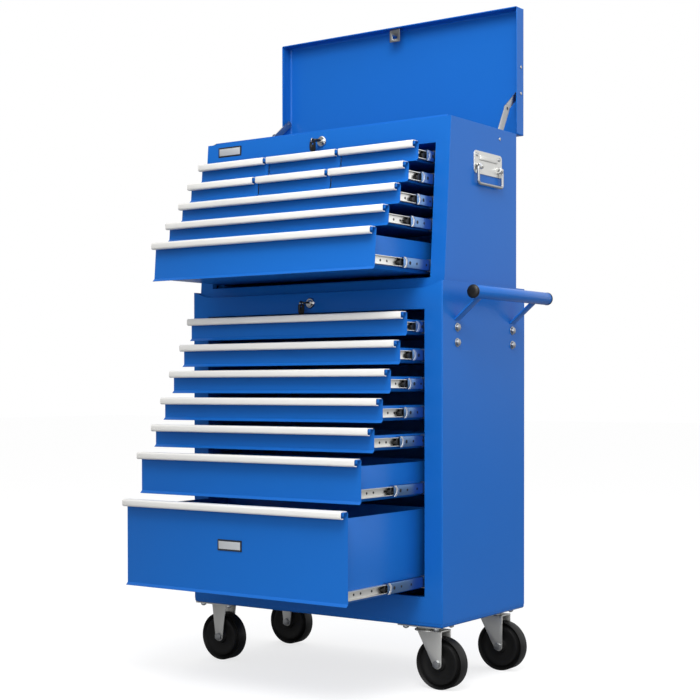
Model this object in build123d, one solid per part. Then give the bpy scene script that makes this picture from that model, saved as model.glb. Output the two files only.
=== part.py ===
"""Rolling tool chest: a seven-drawer roller cabinet that carries a nine-drawer top chest.

Millimetres. +Z is up, +Y points to the back, and +X is the side with the push handle.
The origin is on the floor under the middle of the cabinet. The solids stand as the object
is shown: lid open, drawers pulled out one further than the next, keys in both locks.
"""
from build123d import *
import math
import os

# ---------------------------------------------------------------- sheet metal and fits
sheet = 1.0
drawer_sheet = 0.8
bend_radius = 2.0
flange_depth = 15.0
press_gap = 0.2
running_gap = 0.05
moving_gap = 0.7

# ---------------------------------------------------------------- roller cabinet
caster_height = 124.0
cabinet_width = 616.0
cabinet_depth = 328.0
cabinet_height = 659.0
cabinet_stile = 40.0
cabinet_sill = 57.0
cabinet_opening_height = 549.0
rim_drop = 12.7
tray_drop = 9.0
tray_flange = 20.0
base_reveal = 8.0
base_chamfer = 4.0
base_flange = 26.0

# ---------------------------------------------------------------- top chest
chest_width = 604.0
chest_height = 338.0
chest_foot_setback = 15.0
chest_top_setback = 42.0
chest_back_inset = 24.0
chest_stile = 32.0
chest_sill = 29.0
chest_opening_height = 260.0
lip_height = 5.0
lip_setback = 10.0
lip_end_inset = 14.0
compartment_floor_rise = 5.0
compartment_flange = 12.0
top_hem = 8.0

# ---------------------------------------------------------------- drawers
drawer_side_gap = 3.0
cabinet_drawer_heights = [170.0, 82.0, 45.0, 45.0, 45.0, 45.0, 45.0]
cabinet_drawer_gap = 9.0
cabinet_first_drawer_rise = 11.0
cabinet_pull_out = [252.0, 210.0, 168.0, 140.0, 113.0, 81.0, 57.0]
chest_drawer_heights = [77.0, 38.0, 38.0, 38.0, 38.0]
chest_drawer_gap = 5.5
chest_first_drawer_rise = 5.0
chest_pull_out = [187.0, 148.0, 112.0, 87.0, 56.0]
small_drawer_rows = 2
small_drawer_count = 3
small_drawer_split = 2.5
cabinet_box_length = 300.0
chest_box_length = 236.0
floor_rise = 3.0
foot_chamfer = 5.0
front_lip = 5.0
hem_height = 6.0
divider_foot_gap = 2.5
divider_flange = 14.0

# ---------------------------------------------------------------- drawer pulls
pull_height = 14.0
pull_reach = 18.5
pull_sheet = 1.4
pull_lip = 9.0
pull_corner = 4.0
pull_end_inset = 3.0
curl_reach = 12.0
curl_drop = 6.0

# ---------------------------------------------------------------- drawer slides
slide_space = 14.0
slide_sheet = 1.2
outer_rail_height = 24.0
outer_rail_depth = 9.5
middle_rail_setoff = 2.2
middle_rail_depth = 9.3
inner_rail_depth = 9.4
deep_slide_rise = 18.0
slide_sink = 2.0
cabinet_slide_length = 296.0
chest_slide_length = 232.0
slide_front_setback = 2.0
post_width = 26.0
post_sheet = 1.5
post_front_gap = 1.0
post_back_gap = 7.0

# ---------------------------------------------------------------- lid and its hinge
lid_depth = 34.0
lid_rim_gap = 1.0
lid_corner = 8.0
hinge_knuckle_radius = 2.6
hinge_pin_radius = 1.1
hinge_end_inset = 12.0
hinge_knuckle_count = 15
hinge_end_play = 0.4
hinge_leaf_width = 20.0
hinge_clearance = 3.4
catch_width = 26.0
catch_length = 30.0
catch_setback = 7.0
catch_foot = 14.0
catch_sheet = 1.2

# ---------------------------------------------------------------- lid stays
stay_sheet = 2.0
stay_upper_width = 14.0
stay_lower_width = 18.0
stay_body_setin = 72.0
stay_body_drop = 20.0
stay_lid_setin = 18.0
stay_lid_rise = 86.0
stay_lower_length = 78.0
stay_upper_length = 64.0
stay_wall_gap = 2.5
stay_link_gap = 0.6
stay_pin_radius = 3.0

# ---------------------------------------------------------------- handles
bar_radius = 12.5
bar_wall = 1.5
bar_length = 308.0
bar_reach = 58.0
bar_rise = 636.0
bar_cap_length = 6.0
bar_cap_plug = 14.0
arm_width = 22.0
arm_sheet = 3.0
arm_spacing = 220.0
arm_root_rise = 590.0
arm_foot_rise = 532.0
arm_bolt_rises = (571.7, 542.6)
arm_slot_gap = 1.5
arm_slot_half_height = 9.0
arm_bend_drop = 6.0
arm_tip_drop = 4.0
plate_width = 112.0
plate_height = 45.0
plate_sheet = 1.5
plate_foot_rise = 876.0
plate_centre_setin = 121.0
grip_wire_radius = 3.0
grip_width = 96.0
grip_drop = 34.0
grip_pivot_rise = 14.0
grip_standoff = 6.5
grip_corner = 8.0
boss_radius = 5.5
boss_length = 9.0
grip_boss_gap = 1.0
grip_end_gap = 1.0
grip_top_bend = 4.0
grip_plate_bolt_y = 44.0
grip_plate_bolt_rise = 913.0

# ---------------------------------------------------------------- casters
wheel_radius = 50.0
wheel_width = 26.0
tyre_depth = 14.0
tread_crown = 6.0
hub_radius = 14.0
hub_length = 31.0
axle_radius = 5.0
axle_head_radius = 8.5
axle_head_height = 5.5
plate_length = 92.0
plate_breadth = 80.0
caster_sheet = 2.5
plate_bolt_x = 34.0
plate_bolt_y = 28.0
leg_half_gap = 16.0
leg_foot_radius = 9.5
rigid_half_top = 19.0
fork_gap = 0.6
fork_half_top = 16.0
swivel_trail = 30.0
raceway_radius = 27.0
raceway_height = 7.0
kingpin_radius = 6.0
kingpin_head_radius = 10.0
kingpin_head_height = 4.0
rigid_caster_inset = 46.0
swivel_caster_inset = 58.0
caster_setin = 44.0

# ---------------------------------------------------------------- locks
lock_radius = 11.0
lock_bezel = 3.0
lock_barrel_radius = 9.0
lock_plug_radius = 6.5
lock_barrel_depth = 20.0
lock_plug_stand = 1.2
cam_length = 18.0
cam_width = 12.0
cam_sheet = 2.0
cabinet_lock_drop = 20.3
chest_lock_drop = 21.0
key_sheet = 2.0
key_blade_width = 8.0
key_neck = 6.0
key_bow_radius = 11.0
key_hole_radius = 3.0
key_hole_offset = 6.0
key_ring_radius = 4.5
key_ring_wire = 0.9
key_ring_drop = 2.0
spare_key_length = 21.0
spare_key_width = 14.0
spare_key_sheet = 3.0
spare_key_corner = 6.0
spare_hole_radius = 2.5
spare_hole_setin = 4.5
spare_key_play = 0.4

# ---------------------------------------------------------------- fasteners
bolt_radius = 4.0
bolt_head_radius = 7.0
bolt_head_height = 5.0
caster_bolt_radius = 3.0
caster_nut_radius = 5.8
caster_nut_height = 5.0
caster_bolt_end = 1.5
rivet_radius = 4.0
rivet_height = 1.6
rivet_shank_radius = 2.4
bolt_clearance = 0.2

# ---------------------------------------------------------------- derived planes
cabinet_front = -cabinet_depth / 2
cabinet_back = cabinet_depth / 2
cabinet_side = cabinet_width / 2
cabinet_foot = caster_height
cabinet_top = cabinet_foot + cabinet_height
cabinet_rail_top = cabinet_top - rim_drop
cabinet_opening_half = cabinet_side - cabinet_stile
cabinet_opening_foot = cabinet_foot + cabinet_sill
cabinet_opening_top = cabinet_opening_foot + cabinet_opening_height
tray_top = cabinet_rail_top - tray_drop

chest_side = chest_width / 2
chest_back = cabinet_back - chest_back_inset
chest_foot = tray_top
chest_top = chest_foot + chest_height
chest_opening_half = chest_side - chest_stile
chest_opening_foot = chest_foot + chest_sill
chest_opening_top = chest_opening_foot + chest_opening_height
chest_lean = (chest_top_setback - chest_foot_setback) / chest_height
compartment_floor = chest_opening_top + compartment_floor_rise
divider_line = (chest_opening_half - drawer_side_gap) / small_drawer_count

lid_length = chest_back - (cabinet_front + chest_top_setback)
cabinet_lock_height = cabinet_rail_top - cabinet_lock_drop
chest_lock_height = chest_top - chest_lock_drop
grip_centre = chest_back - plate_centre_setin
stay_body_point = (chest_back - stay_body_setin, chest_top - stay_body_drop)
stay_lid_point = (chest_back + stay_lid_setin, chest_top + stay_lid_rise)
middle_rail_height = outer_rail_height - 2 * slide_sheet - 2 * moving_gap
inner_rail_height = middle_rail_height - 2 * slide_sheet - 2 * moving_gap


# ---------------------------------------------------------------- helpers
def cabinet_face(height):
    """Y of the cabinet's upright front face."""
    return cabinet_front


def chest_face(height):
    """Y of the chest's front face, which leans back as it rises."""
    return cabinet_front + chest_foot_setback + chest_lean * (height - chest_foot)


def block(x_low, x_high, y_low, y_high, z_low, z_high):
    """Rectangular block between two corners."""
    size = (x_high - x_low, y_high - y_low, z_high - z_low)
    middle = ((x_low + x_high) / 2, (y_low + y_high) / 2, (z_low + z_high) / 2)
    return Pos(*middle) * Box(*size)


def along_x(outline, x_low, x_high):
    """Bar whose section is an outline of (y, z) points."""
    face = make_face(Polyline(*outline, close=True))
    return extrude(Plane.YZ.offset(x_low) * face, amount=x_high - x_low, dir=(1, 0, 0))


def along_y(outline, y_low, y_high):
    """Bar whose section is an outline of (x, z) points."""
    face = make_face(Polyline(*outline, close=True))
    return extrude(Plane.XZ.offset(-y_low) * face, amount=y_high - y_low, dir=(0, 1, 0))


def along_z(outline, z_low, z_high):
    """Bar whose section is an outline of (x, y) points."""
    face = make_face(Polyline(*outline, close=True))
    return extrude(Plane.XY.offset(z_low) * face, amount=z_high - z_low, dir=(0, 0, 1))


def rod_x(radius, x_low, x_high, y, z):
    """Round bar along X."""
    return Plane.YZ.offset(x_low) * Pos(y, z) * extrude(Circle(radius), amount=x_high - x_low)


def rod_y(radius, y_low, y_high, x, z):
    """Round bar along Y."""
    return Plane.XZ.offset(-y_high) * Pos(x, z) * extrude(Circle(radius), amount=y_high - y_low)


def rod_z(radius, z_low, z_high, x, y):
    """Round bar along Z."""
    return Pos(x, y, z_low) * extrude(Circle(radius), amount=z_high - z_low)


def sheet_outline(path, thickness):
    """Outline of a folded sheet: one face follows the path, and the metal is on its left."""
    shifted = []
    for index, (u, v) in enumerate(path):
        normals = []
        for start, end in ((index - 1, index), (index, index + 1)):
            if start < 0 or end >= len(path):
                continue
            du = path[end][0] - path[start][0]
            dv = path[end][1] - path[start][1]
            length = math.hypot(du, dv)
            normals.append((-dv / length, du / length))
        nu = sum(n[0] for n in normals) / len(normals)
        nv = sum(n[1] for n in normals) / len(normals)
        scale = thickness / (nu * nu + nv * nv)
        shifted.append((u + nu * scale, v + nv * scale))
    return path + shifted[::-1]


def mirrored_x(part):
    """The same part on the other side of the YZ plane."""
    return mirror(part, about=Plane.YZ)


def save(name, solids):
    """Write one node as a STEP file of separate solids."""
    pieces = []
    for piece in solids:
        pieces.extend(piece.solids())
    shape = pieces[0] if len(pieces) == 1 else Compound(children=pieces)
    shape.label = name
    export_step(shape, f"parts/{name}.step")
    return shape


# ---------------------------------------------------------------- roller cabinet
def front_rail(half_width, z_low, z_high):
    """Folded rail across the cabinet front, with a flange turned back along each long edge."""
    path = [
        (cabinet_front + flange_depth, z_high),
        (cabinet_front, z_high),
        (cabinet_front, z_low),
        (cabinet_front + flange_depth, z_low),
    ]
    return along_x(sheet_outline(path, sheet), -half_width, half_width)


def arm_centres():
    """Y of the two arms of the push handle."""
    return (-arm_spacing / 2, arm_spacing / 2)


def cabinet_shell():
    """Wrapped sides, back and stiles with raised rim corners, and the two front rails."""
    stile_edge = cabinet_opening_half
    shell_foot = cabinet_foot + base_reveal
    path = [
        (-stile_edge, cabinet_front + flange_depth),
        (-stile_edge, cabinet_front),
        (-cabinet_side, cabinet_front),
        (-cabinet_side, cabinet_back),
        (cabinet_side, cabinet_back),
        (cabinet_side, cabinet_front),
        (stile_edge, cabinet_front),
        (stile_edge, cabinet_front + flange_depth),
    ]
    wrap = along_z(sheet_outline(path[::-1], sheet), shell_foot, cabinet_top)
    bends = [e for e in wrap.edges().filter_by(Axis.Z) if abs(e.center().X) > cabinet_side - sheet / 2]
    wrap = fillet(bends, bend_radius)
    slope = [
        (stile_edge - 2 * sheet, cabinet_rail_top),
        (stile_edge, cabinet_rail_top),
        (cabinet_side, cabinet_top),
        (cabinet_side, cabinet_top + sheet),
        (stile_edge - 2 * sheet, cabinet_top + sheet),
    ]
    notch = along_y(slope, cabinet_front - sheet, cabinet_front + flange_depth + sheet)
    wrap = wrap - notch - mirrored_x(notch)
    slot_half_width = arm_width / 2 + arm_slot_gap
    for centre in arm_centres():
        wrap -= block(
            cabinet_side - 2 * sheet,
            cabinet_side + sheet,
            centre - slot_half_width,
            centre + slot_half_width,
            cabinet_foot + arm_root_rise - arm_slot_half_height,
            cabinet_foot + arm_root_rise + arm_slot_half_height,
        )
        for rise in arm_bolt_rises:
            wrap -= rod_x(
                bolt_radius + bolt_clearance,
                cabinet_side - 2 * sheet,
                cabinet_side + sheet,
                centre,
                cabinet_foot + rise,
            )
    head = front_rail(stile_edge, cabinet_opening_top, cabinet_rail_top)
    lock_hole = lock_barrel_radius + press_gap
    head -= rod_y(lock_hole, cabinet_front - sheet, cabinet_front + 2 * sheet, 0, cabinet_lock_height)
    sill = front_rail(stile_edge, shell_foot, cabinet_opening_foot)
    return [wrap, head, sill]


def cabinet_base_pan():
    """Shallow pan that closes the foot of the cabinet and carries the casters."""
    side = cabinet_side - sheet
    front = cabinet_front + sheet
    back = cabinet_back - sheet
    top = cabinet_foot + base_flange
    outer = block(-side, side, front, back, cabinet_foot, top)
    outer = chamfer(outer.edges().group_by(Axis.Z)[0], base_chamfer)
    inner = block(
        -side + sheet, side - sheet, front + sheet, back - sheet, cabinet_foot + sheet, top + sheet
    )
    inner = chamfer(inner.edges().group_by(Axis.Z)[0], base_chamfer)
    pan = outer - inner
    sill_half = cabinet_opening_half + sheet
    sill_foot = cabinet_foot + base_reveal
    pan -= block(-sill_half, sill_half, front - sheet, front + sheet, sill_foot, top + sheet)
    hole_radius = caster_bolt_radius + bolt_clearance
    for x, y in caster_bolt_points():
        pan -= rod_z(hole_radius, cabinet_foot - sheet, cabinet_foot + 2 * sheet, x, y)
    return [pan]


def cabinet_top_tray():
    """Sunken tray that the top chest stands in."""
    side = cabinet_side - sheet
    path = [
        (side, tray_top - tray_flange),
        (side, tray_top),
        (-side, tray_top),
        (-side, tray_top - tray_flange),
    ]
    return [along_y(sheet_outline(path, sheet), cabinet_front + flange_depth, cabinet_back - sheet)]


# ---------------------------------------------------------------- top chest
def chest_shell():
    """Chest body with sides, floor and back, and the leaning front frame."""
    body_outline = [
        (chest_face(chest_foot) + sheet, chest_foot),
        (chest_back, chest_foot),
        (chest_back, chest_top),
        (chest_face(chest_top) + sheet, chest_top),
    ]
    hollow_outline = [
        (cabinet_front, chest_foot + sheet),
        (chest_back - sheet, chest_foot + sheet),
        (chest_back - sheet, chest_top + sheet),
        (cabinet_front, chest_top + sheet),
    ]
    body = along_x(body_outline, -chest_side, chest_side)
    body -= along_x(hollow_outline, -chest_side + sheet, chest_side - sheet)
    body -= block(
        -chest_side + sheet,
        chest_side - sheet,
        chest_back - 2 * sheet,
        chest_back + sheet,
        chest_top - hinge_clearance,
        chest_top + sheet,
    )
    hem = block(
        chest_side - 2 * sheet,
        chest_side - sheet,
        chest_face(chest_top) + flange_depth,
        chest_back - hinge_leaf_width,
        chest_top - top_hem,
        chest_top,
    )
    for centre in (-grip_plate_bolt_y, grip_plate_bolt_y):
        body -= rod_x(
            rivet_shank_radius + bolt_clearance,
            -chest_side - sheet,
            chest_side + sheet,
            grip_centre + centre,
            cabinet_foot + grip_plate_bolt_rise,
        )
    body = body + hem + mirrored_x(hem)

    frame_outline = [
        (chest_face(chest_foot), chest_foot),
        (chest_face(chest_foot) + sheet, chest_foot),
        (chest_face(chest_top) + sheet, chest_top),
        (chest_face(chest_top), chest_top),
    ]
    frame = along_x(frame_outline, -chest_side, chest_side)
    opening = chest_opening_half
    frame -= block(-opening, opening, cabinet_front, chest_back, chest_opening_foot, chest_opening_top)
    stile_flange = along_x(
        [
            (chest_face(chest_opening_foot), chest_opening_foot),
            (chest_face(chest_opening_foot) + flange_depth, chest_opening_foot),
            (chest_face(chest_opening_top) + flange_depth, chest_opening_top),
            (chest_face(chest_opening_top), chest_opening_top),
        ],
        opening,
        opening + sheet,
    )
    frame = frame + stile_flange + mirrored_x(stile_flange)
    for low, high in (
        (chest_opening_foot - sheet, chest_opening_foot),
        (chest_opening_top, chest_opening_top + sheet),
    ):
        front = chest_face(low) + sheet / 2
        frame += block(-opening - sheet, opening + sheet, front, front + flange_depth, low, high)
    lip_back = chest_face(chest_top) + lip_setback + sheet
    inner_half = chest_side - sheet
    frame += block(
        -inner_half, inner_half, chest_face(chest_top) + sheet / 2, lip_back, chest_top - sheet, chest_top
    )
    frame += block(
        -chest_side + lip_end_inset,
        chest_side - lip_end_inset,
        lip_back - sheet,
        lip_back,
        chest_top - sheet,
        chest_top + lip_height,
    )
    lock_front = chest_face(chest_lock_height)
    frame -= rod_y(
        lock_barrel_radius + press_gap, lock_front - 2 * sheet, lock_front + 3 * sheet, 0, chest_lock_height
    )
    return [body, frame]


def compartment_tray():
    """Floor of the compartment under the lid, with its ends turned up."""
    side = chest_side - sheet
    path = [
        (-side, compartment_floor + compartment_flange),
        (-side, compartment_floor - sheet),
        (side, compartment_floor - sheet),
        (side, compartment_floor + compartment_flange),
    ]
    front = chest_face(compartment_floor + compartment_flange) + sheet
    return [along_y(sheet_outline(path, sheet), front, chest_back - sheet)]


def drawer_dividers():
    """Two upright sheets that hang from the compartment floor between the small drawers."""
    foot = small_drawer_foot() - divider_foot_gap
    top = compartment_floor - sheet
    outline = [
        (chest_face(foot) + slide_front_setback, foot),
        (chest_back - sheet, foot),
        (chest_back - sheet, top),
        (chest_face(top) + slide_front_setback, top),
    ]
    relief = block(
        -chest_side, chest_side, cabinet_front, chest_face(top) + flange_depth + slide_front_setback,
        chest_opening_top - press_gap, top + sheet,
    )
    dividers = []
    for line in (-divider_line, divider_line):
        web = along_x(outline, line - sheet / 2, line + sheet / 2) - relief
        flange = block(
            line - divider_flange / 2,
            line + divider_flange / 2,
            chest_face(top) + flange_depth + slide_front_setback,
            chest_back - sheet,
            top - sheet,
            top,
        )
        dividers.append(web + flange)
    return dividers


def slide_posts():
    """Upright channels inside the sides that the drawer slides are screwed to."""
    posts = []
    cabinet_rows = (cabinet_opening_foot - sheet, cabinet_opening_top)
    chest_rows = (chest_opening_foot - sheet, chest_opening_top)
    fronts = (cabinet_front + flange_depth, chest_face(chest_opening_top) + flange_depth)
    layouts = (
        (cabinet_opening_half, cabinet_side - sheet, cabinet_rows, fronts[0], cabinet_back - sheet),
        (chest_opening_half, chest_side - sheet, chest_rows, fronts[1], chest_back - sheet),
    )
    for inner, outer, rows, front, back in layouts:
        for y_low in (front + post_front_gap, back - post_back_gap - post_width):
            path = [
                (outer, y_low),
                (inner, y_low),
                (inner, y_low + post_width),
                (outer, y_low + post_width),
            ]
            post = along_z(sheet_outline(path[::-1], post_sheet), rows[0], rows[1])
            posts += [post, mirrored_x(post)]
    return posts


# ---------------------------------------------------------------- drawer slides
def channel(depth, height, wall, y_low, y_high):
    """Channel rail along Y: its web lies at x = 0 and its flanges point to -X."""
    path = [
        (-depth, -height / 2),
        (0, -height / 2),
        (0, height / 2),
        (-depth, height / 2),
    ]
    return along_y(sheet_outline(path, wall), y_low, y_high)


def slide_set(mount, hand, height, front, length, pull_out):
    """Outer, middle and inner rail of one slide, with the middle rail half way out."""
    outer = channel(outer_rail_depth, outer_rail_height, slide_sheet, front, front + length)
    middle_front = front - pull_out / 2
    inner_front = front - pull_out
    middle = channel(
        middle_rail_depth, middle_rail_height, slide_sheet, middle_front, middle_front + length
    )
    inner = channel(inner_rail_depth, inner_rail_height, slide_sheet, inner_front, inner_front + length)
    middle = Pos(-middle_rail_setoff, 0, 0) * middle
    inner = Pos(-slide_space, 0, 0) * mirrored_x(inner)
    rails = []
    for rail in (outer, middle, inner):
        turned = rail if hand > 0 else mirrored_x(rail)
        rails.append(Pos(mount, 0, height) * turned)
    return rails


# ---------------------------------------------------------------- drawers
def drawer_pull(face_y, foot, x_low, x_high):
    """Extruded pull: a hook that covers the curled top edge of the drawer front."""
    top = foot + pull_height
    reach = face_y - pull_reach
    path = [
        (face_y + drawer_sheet, top),
        (reach + pull_corner, top),
        (reach, top - pull_corner),
        (reach, foot + pull_corner),
        (reach + pull_corner, foot),
        (reach + pull_lip, foot),
    ]
    return along_x(sheet_outline(path, pull_sheet), x_low, x_high)


def drawer_tray(face, foot, height, front_x, box_x, pull_out, length):
    """Drawer body: folded tray with a welded back, and the front with its lip and curl."""

    def front_y(level):
        return face(level) - pull_out

    floor = foot + floor_rise
    side_top = foot + height - pull_height
    curl_top = foot + height - pull_sheet - press_gap - drawer_sheet
    back = front_y(foot) + length
    low_x, high_x = box_x
    path = [
        (low_x, side_top),
        (low_x, floor + foot_chamfer),
        (low_x + foot_chamfer, floor),
        (high_x - foot_chamfer, floor),
        (high_x, floor + foot_chamfer),
        (high_x, side_top),
    ]
    body = along_y(sheet_outline(path, drawer_sheet), front_y(side_top) - front_lip, back)
    body += along_y(path, back - drawer_sheet, back)
    envelope = [
        (front_y(foot) + drawer_sheet / 2, foot),
        (back, foot),
        (back, side_top),
        (front_y(side_top) + drawer_sheet / 2, side_top),
    ]
    body = body & along_x(envelope, low_x, high_x)
    for x_low in (low_x + drawer_sheet, high_x - 2 * drawer_sheet):
        body += block(
            x_low,
            x_low + drawer_sheet,
            front_y(side_top) + 2 * drawer_sheet,
            back - drawer_sheet,
            side_top - hem_height,
            side_top,
        )
    front_path = [
        (front_y(curl_top) - curl_reach, curl_top - curl_drop),
        (front_y(curl_top) - curl_reach, curl_top),
        (front_y(curl_top), curl_top),
        (front_y(foot + front_lip), foot + front_lip),
        (front_y(foot) - front_lip, foot),
    ]
    return body + along_x(sheet_outline(front_path, drawer_sheet), front_x[0], front_x[1])


def slide_height(foot, height):
    """Height of the slide's middle line: half way up a shallow side, near the foot of a deep one."""
    side_middle = (height - pull_height) / 2 + slide_sink
    return foot + min(deep_slide_rise, side_middle)


def build_drawer(name, face, foot, height, front_x, mount_x, pull_out, length, slide_length):
    """One drawer with its pull and slides. Returns the fixed rails, and saves the moving nodes."""
    box_x = (mount_x[0] + slide_space, mount_x[1] - slide_space)
    tray = drawer_tray(face, foot, height, front_x, box_x, pull_out, length)
    pull_foot = foot + height - pull_height
    pull_x = (front_x[0] + pull_end_inset, front_x[1] - pull_end_inset)
    pull = drawer_pull(face(foot + height) - pull_out, pull_foot, pull_x[0], pull_x[1])
    level = slide_height(foot, height)
    front = face(level) + slide_front_setback
    left = slide_set(mount_x[0], -1, level, front, slide_length, pull_out)
    right = slide_set(mount_x[1], 1, level, front, slide_length, pull_out)
    save(name, [tray, pull, left[2], right[2]])
    save(name + "_slide_rails", [left[1], right[1]])
    return [left[0], right[0]]


def drawer_feet(first, heights, gap):
    """Foot height of each drawer in a stack, from the bottom up."""
    feet = []
    level = first
    for height in heights:
        feet.append(level)
        level += height + gap
    return feet


def chest_drawer_feet():
    """Foot heights of the chest's rows, from the bottom up."""
    return drawer_feet(chest_opening_foot + chest_first_drawer_rise, chest_drawer_heights, chest_drawer_gap)


def small_drawer_foot():
    """Foot height of the lowest row of small drawers."""
    return chest_drawer_feet()[-small_drawer_rows]


def build_cabinet_drawers():
    """Seven full-width drawers, numbered from the top."""
    fixed = []
    feet = drawer_feet(
        cabinet_opening_foot + cabinet_first_drawer_rise, cabinet_drawer_heights, cabinet_drawer_gap
    )
    front_half = cabinet_opening_half - drawer_side_gap
    for index, foot in enumerate(feet):
        fixed += build_drawer(
            f"cabinet_drawer_{len(feet) - index}",
            cabinet_face,
            foot,
            cabinet_drawer_heights[index],
            (-front_half, front_half),
            (-cabinet_opening_half, cabinet_opening_half),
            cabinet_pull_out[index],
            cabinet_box_length,
            cabinet_slide_length,
        )
    return fixed


def build_chest_drawers():
    """Three full-width drawers, then rows of small drawers, numbered from the top."""
    fixed = []
    feet = chest_drawer_feet()
    front_half = chest_opening_half - drawer_side_gap
    lines = [-chest_opening_half, -divider_line, divider_line, chest_opening_half]
    for index, foot in enumerate(feet):
        row = len(feet) - index
        name = f"chest_drawer_{row}"
        bays = [(name, (-front_half, front_half), (-chest_opening_half, chest_opening_half))]
        if row <= small_drawer_rows:
            bays = []
            for bay, place in enumerate(("left", "middle", "right")):
                first = bay == 0
                last = bay == small_drawer_count - 1
                front_low = lines[bay] + (drawer_side_gap if first else small_drawer_split / 2)
                front_high = lines[bay + 1] - (drawer_side_gap if last else small_drawer_split / 2)
                mount_low = lines[bay] + (0 if first else sheet / 2)
                mount_high = lines[bay + 1] - (0 if last else sheet / 2)
                bays.append((f"{name}_{place}", (front_low, front_high), (mount_low, mount_high)))
        for bay_name, front_x, mount_x in bays:
            fixed += build_drawer(
                bay_name,
                chest_face,
                foot,
                chest_drawer_heights[index],
                front_x,
                mount_x,
                chest_pull_out[index],
                chest_box_length,
                chest_slide_length,
            )
    return fixed


# ---------------------------------------------------------------- lid, hinge and stays
def hinge_bars(first, leaf, tab):
    """Leaf of the piano hinge with every second knuckle, starting at the given one."""
    half = chest_side - hinge_end_inset
    pitch = 2 * half / hinge_knuckle_count
    bar = leaf(-half, half)
    for index in range(first, hinge_knuckle_count, 2):
        low = -half + index * pitch + hinge_end_play / 2
        high = low + pitch - hinge_end_play
        bar += tab(low, high)
        bar += rod_x(hinge_knuckle_radius, low, high, chest_back, chest_top)
    return bar - rod_x(
        hinge_pin_radius + running_gap, -chest_side, chest_side, chest_back, chest_top
    )


def lid_hinge():
    """Fixed leaf of the hinge inside the chest back, and the pin."""
    face = chest_back - sheet
    leaf_top = chest_top - hinge_clearance

    def leaf(low, high):
        return block(low, high, face - sheet, face, chest_top - hinge_leaf_width, leaf_top)

    def tab(low, high):
        return block(low, high, face - sheet, face, leaf_top - sheet, chest_top)

    half = chest_side - hinge_end_inset
    return [hinge_bars(0, leaf, tab), rod_x(hinge_pin_radius, -half, half, chest_back, chest_top)]


def chest_lid():
    """Shallow lid standing open, with its hinge leaf, catch and stay pins."""
    rim = chest_back + lid_rim_gap
    panel = chest_back + lid_depth
    head = chest_top + lid_length
    outer = block(-chest_side, chest_side, rim, panel, chest_top, head)
    outer = fillet(
        [e for e in outer.edges().filter_by(Axis.X) if e.center().Y > panel - sheet], lid_corner
    )
    inner = block(
        -chest_side + sheet, chest_side - sheet, rim - sheet, panel - sheet, chest_top + sheet, head - sheet
    )
    inner = fillet(
        [e for e in inner.edges().filter_by(Axis.X) if e.center().Y > panel - 2 * sheet], lid_corner - sheet
    )
    pan = outer - inner
    pan -= block(
        -chest_side + sheet,
        chest_side - sheet,
        rim - sheet,
        chest_back + hinge_clearance,
        chest_top - sheet,
        chest_top + 2 * sheet,
    )
    face = chest_top + sheet
    leaf_front = chest_back + hinge_clearance

    def leaf(low, high):
        return block(low, high, leaf_front, chest_back + hinge_leaf_width, face, face + sheet)

    def tab(low, high):
        return block(low, high, chest_back, leaf_front + sheet, face, face + sheet)

    plate_y = rim + catch_setback
    under = head - sheet
    catch_path = [
        (plate_y, head - catch_length),
        (plate_y, under),
        (plate_y + catch_foot, under),
    ]
    catch = along_x(sheet_outline(catch_path[::-1], catch_sheet), -catch_width / 2, catch_width / 2)
    pins = []
    for hand in (-1, 1):
        ends = sorted((hand * stay_upper_inner(), hand * (chest_side - sheet)))
        pins.append(rod_x(stay_pin_radius, ends[0], ends[1], stay_lid_point[0], stay_lid_point[1]))
    return [pan, hinge_bars(1, leaf, tab), catch] + pins


def stay_lower_outer():
    """Outer x of the lower stay link."""
    return chest_side - sheet - stay_wall_gap


def stay_upper_outer():
    """Outer x of the upper stay link."""
    return stay_lower_outer() - stay_sheet - stay_link_gap


def stay_upper_inner():
    """Inner x that the pin of the upper link reaches."""
    return stay_upper_outer() - stay_sheet


def stay_knee():
    """Where the two links meet: both lengths reach it, on the side towards the front."""
    y_span = stay_lid_point[0] - stay_body_point[0]
    z_span = stay_lid_point[1] - stay_body_point[1]
    span = math.hypot(y_span, z_span)
    along = (stay_lower_length**2 - stay_upper_length**2 + span**2) / (2 * span)
    across = math.sqrt(stay_lower_length**2 - along**2)
    return (
        stay_body_point[0] + (along * y_span - across * z_span) / span,
        stay_body_point[1] + (along * z_span + across * y_span) / span,
    )


def stay_link(start, end, width, outer_x, bored):
    """Flat link with round ends between two points, on the +X side."""
    angle = math.degrees(math.atan2(end[1] - start[1], end[0] - start[0]))
    length = math.hypot(end[0] - start[0], end[1] - start[1])
    middle = ((start[0] + end[0]) / 2, (start[1] + end[1]) / 2)
    face = Pos(*middle) * Rot(0, 0, angle) * SlotCenterToCenter(length, width)
    face -= Pos(*bored) * Circle(stay_pin_radius + running_gap)
    return extrude(Plane.YZ.offset(outer_x - stay_sheet) * face, amount=stay_sheet)


def both_sides(part):
    """A part and its mirror image."""
    return [part, mirrored_x(part)]


def lid_stay_lower_links():
    """Lower links of the two folding stays, each with the outer half of the knee rivet."""
    knee = stay_knee()
    link = stay_link(stay_body_point, knee, stay_lower_width, stay_lower_outer(), stay_body_point)
    link += rod_x(
        stay_pin_radius, stay_lower_outer(), stay_lower_outer() + stay_wall_gap / 2, knee[0], knee[1]
    )
    return both_sides(link)


def lid_stay_upper_links():
    """Upper links of the two folding stays, each with the inner half of the knee rivet."""
    knee = stay_knee()
    link = stay_link(stay_lid_point, knee, stay_upper_width, stay_upper_outer(), stay_lid_point)
    link += rod_x(
        stay_pin_radius, stay_upper_inner() - stay_wall_gap / 2, stay_upper_inner(), knee[0], knee[1]
    )
    return both_sides(link)


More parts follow.
